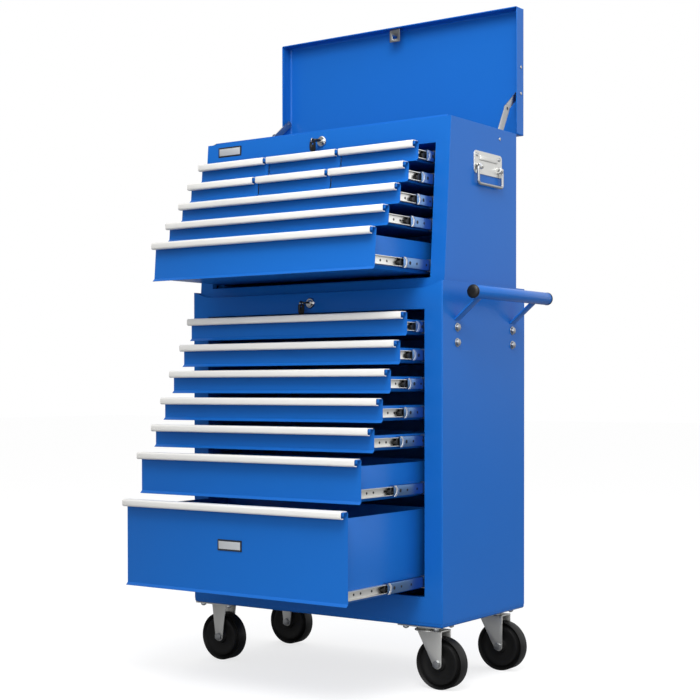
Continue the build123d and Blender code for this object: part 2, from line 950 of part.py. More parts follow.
# ---------------------------------------------------------------- handles
def push_handle():
    """Tube with two end caps on two flat arms, on the right side of the cabinet."""
    x = cabinet_side + bar_reach
    z = cabinet_foot + bar_rise
    half = bar_length / 2
    tube = rod_y(bar_radius, -half + bar_cap_length, half - bar_cap_length, x, z)
    tube -= rod_y(bar_radius - bar_wall, -half, half, x, z)
    solids = [tube]
    for hand in (-1, 1):
        inner = hand * (half - bar_cap_length)
        ends = sorted((inner, hand * half))
        cap = rod_y(bar_radius, ends[0], ends[1], x, z)
        ends = sorted((inner, hand * (half - bar_cap_length - bar_cap_plug)))
        cap += rod_y(bar_radius - bar_wall, ends[0], ends[1], x, z)
        solids.append(cap)
    inner_face = cabinet_side - sheet
    path = [
        (inner_face, cabinet_foot + arm_foot_rise),
        (inner_face, cabinet_foot + arm_root_rise - arm_bend_drop),
        (x, z - arm_tip_drop),
    ]
    for centre in arm_centres():
        arm = along_y(sheet_outline(path, arm_sheet), centre - arm_width / 2, centre + arm_width / 2)
        arm -= rod_y(bar_radius, -half, half, x, z)
        for rise in arm_bolt_rises:
            arm -= rod_x(
                bolt_radius + bolt_clearance, inner_face - 2 * arm_sheet, inner_face + sheet, centre,
                cabinet_foot + rise,
            )
        solids.append(arm)
    return solids


def grip_plates():
    """Plates of the two drop handles, each with two bored bosses for the grip."""
    foot = cabinet_foot + plate_foot_rise
    low = grip_centre - plate_width / 2
    high = grip_centre + plate_width / 2
    plate = block(chest_side, chest_side + plate_sheet, low, high, foot, foot + plate_height)
    plate = fillet(plate.edges().filter_by(Axis.X), grip_corner)
    axis_x = chest_side + grip_standoff
    axis_z = foot + grip_pivot_rise
    for hand in (-1, 1):
        outer = grip_centre + hand * (grip_width / 2 - grip_wire_radius - grip_boss_gap)
        ends = sorted((outer, outer - hand * boss_length))
        boss = rod_y(boss_radius, ends[0], ends[1], axis_x, axis_z)
        root = chest_side + plate_sheet / 2
        boss += block(root, axis_x, ends[0], ends[1], axis_z - boss_radius, axis_z + boss_radius)
        plate += boss
        plate -= rod_y(grip_wire_radius + running_gap, ends[0] - sheet, ends[1] + sheet, axis_x, axis_z)
    for y in (-grip_plate_bolt_y, grip_plate_bolt_y):
        plate -= rod_x(
            rivet_shank_radius + bolt_clearance,
            chest_side - sheet,
            chest_side + 2 * plate_sheet,
            grip_centre + y,
            cabinet_foot + grip_plate_bolt_rise,
        )
    return both_sides(plate)


def grip_bail():
    """Bent wire grip of the right drop handle, hanging down."""
    half = grip_width / 2
    inset = boss_length + grip_wire_radius + grip_boss_gap - grip_end_gap
    path = [
        (-half + inset, 0),
        (-half, 0),
        (-half, -grip_drop),
        (half, -grip_drop),
        (half, 0),
        (half - inset, 0),
    ]
    line = FilletPolyline(*path, radius=[grip_top_bend, grip_corner, grip_corner, grip_top_bend])
    place = Plane(
        origin=(
            chest_side + grip_standoff,
            grip_centre,
            cabinet_foot + plate_foot_rise + grip_pivot_rise,
        ),
        x_dir=(0, 1, 0),
        z_dir=(1, 0, 0),
    )
    line = place * line
    section = Plane(origin=line @ 0, z_dir=line % 0) * Circle(grip_wire_radius)
    return sweep(section, path=line)


# ---------------------------------------------------------------- casters
def caster_points():
    """Centre of each caster plate: name, x, y and whether it swivels."""
    rigid_x = -cabinet_side + rigid_caster_inset
    swivel_x = cabinet_side - swivel_caster_inset
    front = cabinet_front + caster_setin
    back = cabinet_back - caster_setin
    return [
        ("front_left", rigid_x, front, False),
        ("back_left", rigid_x, back, False),
        ("front_right", swivel_x, front, True),
        ("back_right", swivel_x, back, True),
    ]


def caster_bolt_points():
    """Every bolt that holds a caster plate to the pan."""
    points = []
    for _, x, y, _ in caster_points():
        for sx in (-1, 1):
            for sy in (-1, 1):
                points.append((x + sx * plate_bolt_x, y + sy * plate_bolt_y))
    return points


def caster_plate(x, y):
    """Bolt-on top plate of one caster."""
    plate = block(
        x - plate_length / 2,
        x + plate_length / 2,
        y - plate_breadth / 2,
        y + plate_breadth / 2,
        cabinet_foot - caster_sheet,
        cabinet_foot,
    )
    hole_radius = caster_bolt_radius + bolt_clearance
    for bx, by in caster_bolt_points():
        plate -= rod_z(hole_radius, cabinet_foot - 2 * caster_sheet, cabinet_foot + sheet, bx, by)
    return plate


def caster_legs(top_low, top_high, axle_x, y, top):
    """Two fork legs that taper from the top plate to the axle."""
    legs = []
    for hand in (-1, 1):
        ends = sorted((y + hand * leg_half_gap, y + hand * (leg_half_gap + caster_sheet)))
        outline = make_hull(
            [Line((top_low, top), (top_high, top))]
            + (Pos(axle_x, wheel_radius) * Circle(leg_foot_radius)).edges()
        )
        leg = extrude(Plane.XZ.offset(-ends[0]) * outline, amount=caster_sheet, dir=(0, 1, 0))
        leg -= rod_y(axle_radius + press_gap, ends[0] - sheet, ends[1] + sheet, axle_x, wheel_radius)
        legs.append(leg)
    return legs


def caster_axle(x, y):
    """Axle bolt with a hexagon at each end."""
    half = leg_half_gap + caster_sheet
    axle = rod_y(axle_radius, y - half, y + half, x, wheel_radius)
    head = extrude(RegularPolygon(axle_head_radius, 6), amount=axle_head_height)
    axle += Plane.XZ.offset(-(y + half + axle_head_height)) * Pos(x, wheel_radius) * head
    axle += Plane.XZ.offset(-(y - half)) * Pos(x, wheel_radius) * head
    return axle


def rigid_caster_brackets():
    """Fixed casters without their wheels."""
    solids = []
    for _, x, y, swivels in caster_points():
        if swivels:
            continue
        top = cabinet_foot - caster_sheet
        bracket = caster_plate(x, y)
        for leg in caster_legs(x - rigid_half_top, x + rigid_half_top, x, y, top):
            bracket += leg
        solids += [bracket, caster_axle(x, y)]
    return solids


def swivel_caster_plates():
    """Top plates of the swivelling casters, each with its raceway and kingpin."""
    solids = []
    for _, x, y, swivels in caster_points():
        if not swivels:
            continue
        underside = cabinet_foot - caster_sheet
        race_foot = underside - raceway_height
        fork_foot = race_foot - fork_gap - caster_sheet
        plate = caster_plate(x, y)
        plate += rod_z(raceway_radius, race_foot, underside, x, y)
        plate += rod_z(kingpin_radius, fork_foot - fork_gap, race_foot, x, y)
        plate += rod_z(
            kingpin_head_radius, fork_foot - fork_gap - kingpin_head_height, fork_foot - fork_gap, x, y
        )
        solids.append(plate)
    return solids


def swivel_fork(x, y):
    """Swivelling fork with its trailing axle."""
    top = cabinet_foot - caster_sheet - raceway_height - fork_gap
    foot = top - caster_sheet
    half = leg_half_gap + caster_sheet
    toe = x + swivel_trail + leg_foot_radius
    fork = block(x - fork_half_top, toe, y - half, y + half, foot, top)
    fork += rod_z(raceway_radius, foot, top, x, y)
    for leg in caster_legs(x - fork_half_top, toe, x + swivel_trail, y, top):
        fork += leg
    fork -= rod_z(kingpin_radius + running_gap, foot - sheet, top + sheet, x, y)
    return [fork, caster_axle(x + swivel_trail, y)]


def caster_wheel(x, y):
    """Tyre and hub that turn on the axle."""
    half = wheel_width / 2
    tread = [
        (0, -half),
        (wheel_radius - tread_crown, -half),
        (wheel_radius, -half + tread_crown),
        (wheel_radius, half - tread_crown),
        (wheel_radius - tread_crown, half),
        (0, half),
    ]
    disc = revolve(make_face(Polyline(*tread, close=True)), axis=Axis.Y)
    core_radius = wheel_radius - tyre_depth
    core = Rot(90, 0, 0) * extrude(Circle(core_radius), amount=half, both=True)
    hub = core + Rot(90, 0, 0) * extrude(Circle(hub_radius), amount=hub_length / 2, both=True)
    hub -= Rot(90, 0, 0) * extrude(Circle(axle_radius + running_gap), amount=hub_length, both=True)
    place = Pos(x, y, wheel_radius)
    return [place * (disc - core), place * hub]


# ---------------------------------------------------------------- locks
def lock_spots():
    """Name, front face and height of each lock."""
    return [
        ("cabinet", cabinet_front, cabinet_lock_height),
        ("chest", chest_face(chest_lock_height - lock_radius), chest_lock_height),
    ]


def lock_housings():
    """Lock barrels with their bezels."""
    solids = []
    for _, front, z in lock_spots():
        housing = rod_y(lock_radius, front - lock_bezel, front, 0, z)
        housing += rod_y(lock_barrel_radius, front, front + lock_barrel_depth, 0, z)
        housing -= rod_y(
            lock_plug_radius + running_gap, front - 2 * lock_bezel, front + 2 * lock_barrel_depth, 0, z
        )
        solids.append(housing)
    return solids


def flat_key(bow_y, blade_y, z):
    """Key lying flat in its plug: neck and round bow with a ring hole."""
    bow = Pos(0, bow_y) * Circle(key_bow_radius)
    neck = Pos(0, (bow_y + blade_y) / 2) * Rectangle(key_blade_width, blade_y - bow_y)
    hole = Pos(0, bow_y - key_hole_offset) * Circle(key_hole_radius)
    return Pos(0, 0, z) * extrude(bow + neck - hole, amount=key_sheet / 2, both=True)


def folded_key(y, z):
    """Spare key folded shut, hanging with its ring hole centred on the given point."""
    middle = spare_hole_setin - spare_key_length / 2
    body = Pos(0, middle) * RectangleRounded(spare_key_width, spare_key_length, spare_key_corner)
    body -= Circle(spare_hole_radius)
    return Plane.XZ.offset(-y) * Pos(0, z) * extrude(body, amount=spare_key_sheet / 2, both=True)


def lock_plug(front, z):
    """Turning plug with its cam, the key in it, and the ring with the folded spare key."""
    plug_front = front - lock_bezel - lock_plug_stand
    plug_back = front + lock_barrel_depth + moving_gap
    plug = rod_y(lock_plug_radius, plug_front, plug_back, 0, z)
    cam_half = cam_width / 2
    cam_back = plug_back + cam_sheet
    plug += block(-cam_half, cam_half, plug_back, cam_back, z - cam_length, z + lock_plug_radius)
    bow_y = plug_front - key_neck - key_bow_radius
    key = flat_key(bow_y, plug_front, z)
    ring_reach = math.sqrt(key_ring_radius**2 - key_ring_drop**2)
    ring_y = bow_y - key_hole_offset - ring_reach
    ring_z = z - key_ring_drop
    ring = Pos(0, ring_y, ring_z) * Rot(0, 90, 0) * Torus(key_ring_radius, key_ring_wire)
    hole_z = ring_z - key_ring_radius + key_ring_wire + spare_key_play - spare_hole_radius
    spare = folded_key(ring_y, hole_z)
    return [plug, key, ring, spare]


# ---------------------------------------------------------------- fasteners
def hexagon(radius, height):
    """Hexagonal head standing on the XY plane."""
    return extrude(RegularPolygon(radius, 6), amount=height)


def fasteners():
    """Caster bolts, handle bolts, handle rivets and stay rivets."""
    solids = []
    for x, y in caster_bolt_points():
        floor = cabinet_foot + sheet
        nut = hexagon(caster_nut_radius, caster_nut_height)
        nut_foot = cabinet_foot - caster_sheet - caster_nut_height
        bolt = rod_z(caster_bolt_radius, nut_foot - caster_bolt_end, floor, x, y)
        bolt += Pos(x, y, floor) * nut
        bolt += Pos(x, y, nut_foot) * nut
        solids.append(bolt)
    for centre in arm_centres():
        for rise in arm_bolt_rises:
            inner = cabinet_side - sheet - arm_sheet
            bolt = rod_x(bolt_radius, inner, cabinet_side, centre, cabinet_foot + rise)
            bolt += Plane.YZ.offset(cabinet_side) * Pos(centre, cabinet_foot + rise) * hexagon(
                bolt_head_radius, bolt_head_height
            )
            bolt += Plane.YZ.offset(inner - bolt_head_height) * Pos(centre, cabinet_foot + rise) * hexagon(
                bolt_head_radius, bolt_head_height
            )
            solids.append(bolt)
    face = chest_side + plate_sheet
    wall = chest_side - sheet
    for y in (-grip_plate_bolt_y, grip_plate_bolt_y):
        place = (grip_centre + y, cabinet_foot + grip_plate_bolt_rise)
        rivet = rod_x(rivet_shank_radius, wall, face, *place)
        rivet += rod_x(rivet_radius, face, face + rivet_height, *place)
        rivet += rod_x(rivet_radius, wall - rivet_height, wall, *place)
        solids += both_sides(rivet)
    inner = stay_lower_outer() - stay_sheet
    pin = rod_x(stay_pin_radius, inner, chest_side - sheet, *stay_body_point)
    solids += both_sides(pin)
    return solids


# ---------------------------------------------------------------- write the nodes
os.makedirs("parts", exist_ok=True)
save("cabinet_shell", cabinet_shell())
save("cabinet_base_pan", cabinet_base_pan())
save("cabinet_top_tray", cabinet_top_tray())
save("chest_shell", chest_shell())
save("chest_compartment_tray", compartment_tray())
save("chest_drawer_dividers", drawer_dividers())
save("slide_posts", slide_posts())
save("fixed_slide_rails", build_cabinet_drawers() + build_chest_drawers())
save("lid_hinge", lid_hinge())
save("chest_lid", chest_lid())
save("lid_stay_lower_links", lid_stay_lower_links())
save("lid_stay_upper_links", lid_stay_upper_links())
save("push_handle", push_handle())
save("drop_handle_plates", grip_plates())
right_grip = grip_bail()
save("drop_handle_grip_right", [right_grip])
save("drop_handle_grip_left", [mirrored_x(right_grip)])
save("rigid_caster_brackets", rigid_caster_brackets())
save("swivel_caster_plates", swivel_caster_plates())
for place, x, y, swivels in caster_points():
    if swivels:
        save(f"caster_fork_{place}", swivel_fork(x, y))
        x += swivel_trail
    save(f"caster_wheel_{place}", caster_wheel(x, y))
save("lock_housings", lock_housings())
for place, front, z in lock_spots():
    save(f"{place}_lock_plug_and_keys", lock_plug(front, z))
save("bolts_and_rivets", fasteners())
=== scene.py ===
"""Looks of the rolling tool chest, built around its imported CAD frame."""

import logging
import math
from dataclasses import dataclass
from enum import Enum
from typing import Callable, Optional, Sequence

import bpy
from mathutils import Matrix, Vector

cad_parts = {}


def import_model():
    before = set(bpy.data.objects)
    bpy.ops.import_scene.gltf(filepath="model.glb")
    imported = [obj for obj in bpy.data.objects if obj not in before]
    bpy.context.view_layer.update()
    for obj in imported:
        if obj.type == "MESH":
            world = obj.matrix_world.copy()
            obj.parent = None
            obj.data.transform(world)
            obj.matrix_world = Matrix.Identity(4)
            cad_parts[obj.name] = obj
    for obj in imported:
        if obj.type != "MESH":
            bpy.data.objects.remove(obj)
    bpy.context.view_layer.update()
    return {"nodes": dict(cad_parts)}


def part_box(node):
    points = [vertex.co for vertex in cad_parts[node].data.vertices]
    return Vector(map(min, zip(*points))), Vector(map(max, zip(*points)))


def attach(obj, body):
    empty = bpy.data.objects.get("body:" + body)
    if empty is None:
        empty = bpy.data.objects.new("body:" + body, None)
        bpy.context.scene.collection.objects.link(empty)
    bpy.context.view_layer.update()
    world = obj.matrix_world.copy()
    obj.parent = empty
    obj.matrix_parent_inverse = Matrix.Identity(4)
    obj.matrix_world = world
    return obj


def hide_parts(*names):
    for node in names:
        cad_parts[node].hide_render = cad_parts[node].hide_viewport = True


logging.basicConfig(level=logging.INFO)
LOG = logging.getLogger("tool_chest")

MM = 0.001
Point2 = tuple[float, float]
Point3 = tuple[float, float, float]


# ------------------------------------------------------------------ finishes
class Slot(Enum):
    """Material slots of the record."""

    BLUE = "blue_enamel"
    ZINC = "zinc_steel"
    CHROME = "chromed_steel"
    KEY = "key_steel"
    RUBBER = "black_rubber"


@dataclass(frozen=True)
class Finish:
    """One real finish.

    Attributes:
        name: Name of the real material.
        colour: sRGB colour as a hexadecimal string.
        metallic: 1 for bare metal.
        roughness: Roughness of the clean surface.
        specular: Strength of the reflection on a non-metal.
        coat: Weight of a clear glossy layer.
        grain_mm: Size of the surface texture.
        relief_mm: Height of the surface texture.
        stretch: Stretch of the texture along X, Y and Z.
        wear: Share by which the colour and roughness vary.
        glow: White the surface adds of itself, only where the camera sees it.
    """

    name: str
    colour: str
    metallic: float = 0.0
    roughness: float = 0.4
    specular: float = 0.5
    coat: float = 0.0
    grain_mm: float = 2.0
    relief_mm: float = 0.01
    stretch: Point3 = (1.0, 1.0, 1.0)
    wear: float = 0.06
    glow: float = 0.0


class Finishes(Enum):
    """Every finish used on the tool chest and under it."""

    # Baked polyester powder over sheet steel: an even satin gloss with a faint orange peel.
    BLUE_POWDER_COAT = Finish(
        "blue_powder_coat", "1763b8", roughness=0.28, specular=0.16, grain_mm=1.2, relief_mm=0.003, wear=0.02
    )
    # Extruded and anodised: pale, with a soft sheen and fine lines along the extrusion.
    ANODISED_ALUMINIUM = Finish(
        "anodised_aluminium",
        "e6e5e2",
        metallic=0.15,
        roughness=0.45,
        specular=0.4,
        grain_mm=0.6,
        relief_mm=0.03,
        stretch=(0.05, 1, 1),
        wear=0.04,
    )
    # Barrel-plated fasteners and straps: grey, softly bright, a little cloudy.
    ZINC_PLATED_STEEL = Finish(
        "zinc_plated_steel", "a6a8aa", metallic=1.0, roughness=0.30, grain_mm=6.0, relief_mm=0.004, wear=0.14
    )
    # Zinc rails, darker and tinted blue: painted shade and a painted reflection of the blue cabinet round them.
    ZINC_PAINTED_SHADE_AND_BLUE_REFLECTION = Finish(
        "zinc_painted_shade_and_blue_reflection", "5f7da6", metallic=1.0, roughness=0.30, grain_mm=6.0, relief_mm=0.004, wear=0.14
    )
    # Rolled pre-plated strip: light grey with a broad, even highlight.
    SATIN_ZINC_SHEET = Finish(
        "satin_zinc_sheet", "cfcfcc", metallic=0.85, roughness=0.34, grain_mm=4.0, relief_mm=0.006, wear=0.08
    )
    # Polished before plating: a nearly clean mirror.
    POLISHED_CHROME = Finish(
        "polished_chrome", "d6d7d9", metallic=1.0, roughness=0.09, grain_mm=8.0, relief_mm=0.001, wear=0.03
    )
    # Stamped key metal: warm grey and slightly rubbed.
    NICKEL_SILVER = Finish("nickel_silver", "b9b5ab", metallic=1.0, roughness=0.24, relief_mm=0.004, wear=0.08)
    # Moulded tyre rubber: dull black with an uneven bloom.
    BLACK_RUBBER = Finish("black_rubber", "0d0d0d", roughness=0.50, specular=0.25, grain_mm=0.8, wear=0.15)
    # Injection-moulded nylon: black with a soft shine. The same black is the painted shade in the rails' holes.
    BLACK_NYLON_AND_HOLE_SHADE = Finish("black_nylon_and_hole_shade", "0b0b0c", specular=0.4, grain_mm=0.7, relief_mm=0.006, wear=0.10)
    # Stoved enamel round a badge: near black and glossy.
    DARK_BADGE_ENAMEL = Finish(
        "dark_badge_enamel",
        "1b1f27",
        roughness=0.30,
        specular=0.4,
        coat=0.3,
        grain_mm=1.0,
        relief_mm=0.002,
        wear=0.04,
    )
    # Brushed foil of a badge: silver with fine lines along its length.
    BADGE_SILVER = Finish(
        "badge_silver",
        "d3d6da",
        metallic=0.5,
        roughness=0.34,
        grain_mm=0.5,
        relief_mm=0.004,
        stretch=(0.1, 1, 1),
    )
    # Matt studio paper that runs into the white behind it.
    STUDIO_FLOOR = Finish(
        "studio_floor",
        "9c9c9c",
        roughness=0.90,
        specular=0.0,
        grain_mm=30.0,
        relief_mm=0.0,
        wear=0.0,
        glow=0.72,
    )


def linear(colour: str) -> tuple[float, float, float, float]:
    """Converts an sRGB colour to linear light.

    Args:
        colour: Six hexadecimal digits.

    Returns:
        Red, green, blue and alpha in linear light.
    """
    channels = [int(colour[i : i + 2], 16) / 255 for i in (0, 2, 4)]
    light = [c / 12.92 if c <= 0.04045 else ((c + 0.055) / 1.055) ** 2.4 for c in channels]
    return (light[0], light[1], light[2], 1.0)


class Paintbox:
    """Makes each node material once."""

    def __init__(self) -> None:
        self._made: dict[str, bpy.types.Material] = {}

    def get(self, finish: Finishes) -> bpy.types.Material:
        """Gives the material of a finish.

        Args:
            finish: The finish wanted.

        Returns:
            The Blender material.
        """
        spec = finish.value
        if spec.name not in self._made:
            self._made[spec.name] = self._build(spec)
        return self._made[spec.name]

    @staticmethod
    def _build(spec: Finish) -> bpy.types.Material:
        """Builds the node material of one finish.

        Args:
            spec: What the finish is like.

        Returns:
            The Blender material.
        """
        material = bpy.data.materials.new(spec.name)
        material.use_nodes = True
        nodes, links = material.node_tree.nodes, material.node_tree.links
        shader = nodes["Principled BSDF"]
        shader.inputs["Metallic"].default_value = spec.metallic
        shader.inputs["Coat Weight"].default_value = spec.coat
        shader.inputs["Coat Roughness"].default_value = 0.12
        shader.inputs["Specular IOR Level"].default_value = spec.specular
        shader.inputs["Emission Color"].default_value = (1.0, 1.0, 1.0, 1.0)
        if spec.glow > 0:
            seen = nodes.new("ShaderNodeLightPath")
            glow = nodes.new("ShaderNodeMath")
            glow.operation = "MULTIPLY"
            glow.inputs[1].default_value = spec.glow
            links.new(seen.outputs["Is Camera Ray"], glow.inputs[0])
            links.new(glow.outputs["Value"], shader.inputs["Emission Strength"])
        where = nodes.new("ShaderNodeTexCoord")
        stretch = nodes.new("ShaderNodeMapping")
        stretch.inputs["Scale"].default_value = spec.stretch
        links.new(where.outputs["Object"], stretch.inputs["Vector"])
        grain = nodes.new("ShaderNodeTexNoise")
        grain.inputs["Scale"].default_value = 1000.0 / spec.grain_mm
        grain.inputs["Detail"].default_value = 3.0
        links.new(stretch.outputs["Vector"], grain.inputs["Vector"])
        cloud = nodes.new("ShaderNodeTexNoise")
        cloud.inputs["Scale"].default_value = 9.0
        cloud.inputs["Detail"].default_value = 2.0
        links.new(where.outputs["Object"], cloud.inputs["Vector"])
        tint = nodes.new("ShaderNodeMix")
        tint.data_type = "RGBA"
        base = linear(spec.colour)
        tint.inputs[6].default_value = tuple(c * (1 - spec.wear) for c in base[:3]) + (1.0,)
        tint.inputs[7].default_value = tuple(min(1.0, c * (1 + spec.wear)) for c in base[:3]) + (1.0,)
        links.new(cloud.outputs["Fac"], tint.inputs[0])
        links.new(tint.outputs[2], shader.inputs["Base Color"])
        rough = nodes.new("ShaderNodeMapRange")
        rough.inputs["To Min"].default_value = spec.roughness * (1 - spec.wear)
        rough.inputs["To Max"].default_value = spec.roughness * (1 + spec.wear)
        links.new(grain.outputs["Fac"], rough.inputs["Value"])
        links.new(rough.outputs["Result"], shader.inputs["Roughness"])
        if spec.relief_mm > 0:
            relief = nodes.new("ShaderNodeBump")
            relief.inputs["Distance"].default_value = spec.relief_mm * MM
            relief.inputs["Strength"].default_value = 0.6
            links.new(grain.outputs["Fac"], relief.inputs["Height"])
            links.new(relief.outputs["Normal"], shader.inputs["Normal"])
        return material


# ------------------------------------------------------------------ modelling tools
AXES = {"X": Vector((1, 0, 0)), "Y": Vector((0, 1, 0)), "Z": Vector((0, 0, 1))}


def spread(axis: str, along: float, point: Point2) -> Vector:
    """Puts a point of a section into space.

    Args:
        axis: Axis the section is swept along: X takes (y, z), Y takes (x, z) and Z takes (x, y).
        along: Position on that axis.
        point: The section's two coordinates.

    Returns:
        The point in space.
    """
    if axis == "X":
        return Vector((along, point[0], point[1]))
    if axis == "Y":
        return Vector((point[0], along, point[1]))
    return Vector((point[0], point[1], along))


def offset_path(path: Sequence[Point2], thickness: float) -> list[Point2]:
    """Closes a folded sheet's path into an outline, with the metal on the path's left.

    Args:
        path: Points of one face of the sheet.
        thickness: Thickness of the sheet.

    Returns:
        The closed outline.
    """
    shifted = []
    for index, (u, v) in enumerate(path):
        normals = []
        for start, end in ((index - 1, index), (index, index + 1)):
            if start < 0 or end >= len(path):
                continue
            du, dv = path[end][0] - path[start][0], path[end][1] - path[start][1]
            size = math.hypot(du, dv)
            normals.append((-dv / size, du / size))
        nu = sum(n[0] for n in normals) / len(normals)
        nv = sum(n[1] for n in normals) / len(normals)
        scale = thickness / (nu * nu + nv * nv)
        shifted.append((u + nu * scale, v + nv * scale))
    return list(path) + shifted[::-1]


def rounded(path: Sequence[Point2], radius: float, steps: int = 4) -> list[Point2]:
    """Rounds the inner corners of a path.

    Args:
        path: Points of an open path.
        radius: Radius of each bend.
        steps: Pieces in each bend.

    Returns:
        The path with its bends.
    """
    result = [path[0]]
    for before, corner, after in zip(path, path[1:], path[2:]):
        a = Vector(before) - Vector(corner)
        b = Vector(after) - Vector(corner)
        turn = math.pi - a.angle(b)
        if turn < 0.02:
            result.append(corner)
            continue
        reach = min(radius * math.tan(turn / 2), 0.45 * a.length, 0.45 * b.length)
        size = reach / math.tan(turn / 2)
        middle = (a.normalized() + b.normalized()).normalized()
        centre = Vector(corner) + middle * (size / math.cos(turn / 2))
        start = Vector(corner) + a.normalized() * reach - centre
        side = 1 if start.y * a.x - start.x * a.y > 0 else -1
        for step in range(steps + 1):
            angle = side * turn * step / steps
            c, s = math.cos(angle), math.sin(angle)
            result.append((centre.x + start.x * c - start.y * s, centre.y + start.x * s + start.y * c))
    result.append(path[-1])
    return result


def activate(obj: bpy.types.Object) -> None:
    """Makes one object the only selected and the active one.

    Args:
        obj: The object.
    """
    bpy.ops.object.select_all(action="DESELECT")
    obj.select_set(True)
    bpy.context.view_layer.objects.active = obj


def start_point(name: str, where: Vector) -> bpy.types.Object:
    """Makes a mesh of a single vertex and leaves it in edit mode, selected.

    Args:
        name: Name of the object.
        where: Position of the vertex.

    Returns:
        The object.
    """
    bpy.ops.object.select_all(action="DESELECT")
    bpy.ops.mesh.primitive_plane_add(size=0.01, location=(0, 0, 0))
    obj = bpy.context.active_object
    obj.name = name
    obj.data.name = name
    bpy.ops.object.mode_set(mode="EDIT")
    bpy.ops.mesh.select_mode(type="VERT")
    bpy.ops.mesh.select_all(action="SELECT")
    bpy.ops.mesh.merge(type="CENTER")
    bpy.ops.mesh.select_all(action="SELECT")
    bpy.ops.transform.translate(value=where)
    return obj


def trace(points: Sequence[Vector]) -> None:
    """Draws edges from the selected vertex through further points.

    Args:
        points: All points, the first of which is the selected vertex.
    """
    for before, after in zip(points, points[1:]):
        bpy.ops.mesh.extrude_region_move(TRANSFORM_OT_translate={"value": after - before})


def soften(obj: bpy.types.Object, width: float, segments: int = 2, angle: float = 35.0) -> None:
    """Rounds the sharp edges of an object and smooths its shading.

    Args:
        obj: The object.
        width: Width of the rounding.
        segments: Facets in the rounding.
        angle: Smallest angle that counts as sharp, in degrees.
    """
    activate(obj)
    if width > 0:
        bevel = obj.modifiers.new("soft_edges", "BEVEL")
        bevel.width = width
        bevel.segments = segments
        bevel.limit_method = "ANGLE"
        bevel.angle_limit = math.radians(angle)
        bpy.ops.object.modifier_apply(modifier=bevel.name)
    bpy.ops.object.shade_smooth_by_angle(angle=math.radians(32))


def prism(
    name: str, outline: Sequence[Point2], axis: str, low: float, high: float, edge: float = 0.3 * MM
) -> bpy.types.Object:
    """Sweeps a closed outline along an axis.

    Args:
        name: Name of the object.
        outline: Closed section.
        axis: Axis of the sweep.
        low: Where the sweep starts.
        high: Where it ends.
        edge: Rounding of the edges.

    Returns:
        The object.
    """
    points = [spread(axis, low, p) for p in outline]
    obj = start_point(name, points[0])
    trace(points)
    bpy.ops.mesh.select_all(action="SELECT")
    bpy.ops.mesh.edge_face_add()
    bpy.ops.mesh.select_all(action="SELECT")
    bpy.ops.mesh.extrude_region_move(TRANSFORM_OT_translate={"value": AXES[axis] * (high - low)})
    bpy.ops.mesh.select_all(action="SELECT")
    bpy.ops.mesh.normals_make_consistent(inside=False)
    bpy.ops.object.mode_set(mode="OBJECT")
    soften(obj, edge)
    return obj


def fold(
    name: str,
    path: Sequence[Point2],
    axis: str,
    low: float,
    high: float,
    thickness: float,
    bend: float = 0.0,
    edge: float = 0.25 * MM,
) -> bpy.types.Object:
    """Makes a folded sheet, with its metal on the path's left.

    Args:
        name: Name of the object.
        path: Points of one face in section.
        axis: Axis the folds run along.
        low: Where the sheet starts on that axis.
        high: Where it ends.
        thickness: Thickness of the sheet.
        bend: Radius of the folds on the path.
        edge: Rounding of the cut edges.

    Returns:
        The object.
    """
    line = rounded(path, bend) if bend > 0 else list(path)
    return prism(name, offset_path(line, thickness), axis, low, high, edge)


def block(name: str, low: Point3, high: Point3, edge: float = 0.3 * MM) -> bpy.types.Object:
    """Makes a rectangular block with soft edges.

    Args:
        name: Name of the object.
        low: Lowest corner.
        high: Highest corner.
        edge: Rounding of the edges.

    Returns:
        The object.
    """
    lo, hi = Vector(low), Vector(high)
    bpy.ops.object.select_all(action="DESELECT")
    bpy.ops.mesh.primitive_cube_add(size=1, location=(lo + hi) / 2)
    obj = bpy.context.active_object
    obj.name = name
    obj.data.name = name
    obj.scale = hi - lo
    bpy.ops.object.transform_apply(location=True, rotation=True, scale=True)
    soften(obj, edge)
    return obj


def lathe(
    name: str, profile: Sequence[Point2], axis: str, centre: Point3, steps: int = 48, edge: float = 0.0
) -> bpy.types.Object:
    """Turns a profile about an axis.

    Args:
        name: Name of the object.
        profile: Pairs of height along the axis and radius.
        axis: Axis of the turning.
        centre: Point on the axis that heights are measured from.
        steps: Facets round the axis.
        edge: Rounding of the sharp edges.

    Returns:
        The object.
    """
    origin = Vector(centre)
    across = AXES["Z"] if axis != "Z" else AXES["X"]
    points = [origin + AXES[axis] * h + across * r for h, r in profile]
    obj = start_point(name, points[0])
    trace(points)
    bpy.ops.mesh.select_all(action="SELECT")
    bpy.ops.mesh.spin(steps=steps, angle=math.tau, center=origin, axis=AXES[axis])
    bpy.ops.mesh.select_all(action="SELECT")
    bpy.ops.mesh.remove_doubles(threshold=0.00001)
    bpy.ops.mesh.normals_make_consistent(inside=False)
    bpy.ops.object.mode_set(mode="OBJECT")
    soften(obj, edge)
    return obj


def rod(
    name: str, axis: str, radius: float, low: float, high: float, at: Point2, edge: float = 0.3 * MM, steps: int = 40
) -> bpy.types.Object:
    """Makes a round bar along an axis.

    Args:
        name: Name of the object.
        axis: Axis of the bar.
        radius: Radius of the bar.
        low: Where it starts on the axis.
        high: Where it ends.
        at: Its other two coordinates.
        edge: Rounding of the ends.
        steps: Facets round the bar.

    Returns:
        The object.
    """
    bpy.ops.object.select_all(action="DESELECT")
    bpy.ops.mesh.primitive_cylinder_add(
        vertices=steps, radius=radius, depth=high - low, location=spread(axis, (low + high) / 2, at)
    )
    obj = bpy.context.active_object
    obj.name = name
    obj.data.name = name
    turns = {"X": (0, math.pi / 2, 0), "Y": (math.pi / 2, 0, 0), "Z": (0, 0, 0)}
    obj.rotation_euler = turns[axis]
    bpy.ops.object.transform_apply(location=True, rotation=True, scale=True)
    soften(obj, edge)
    return obj


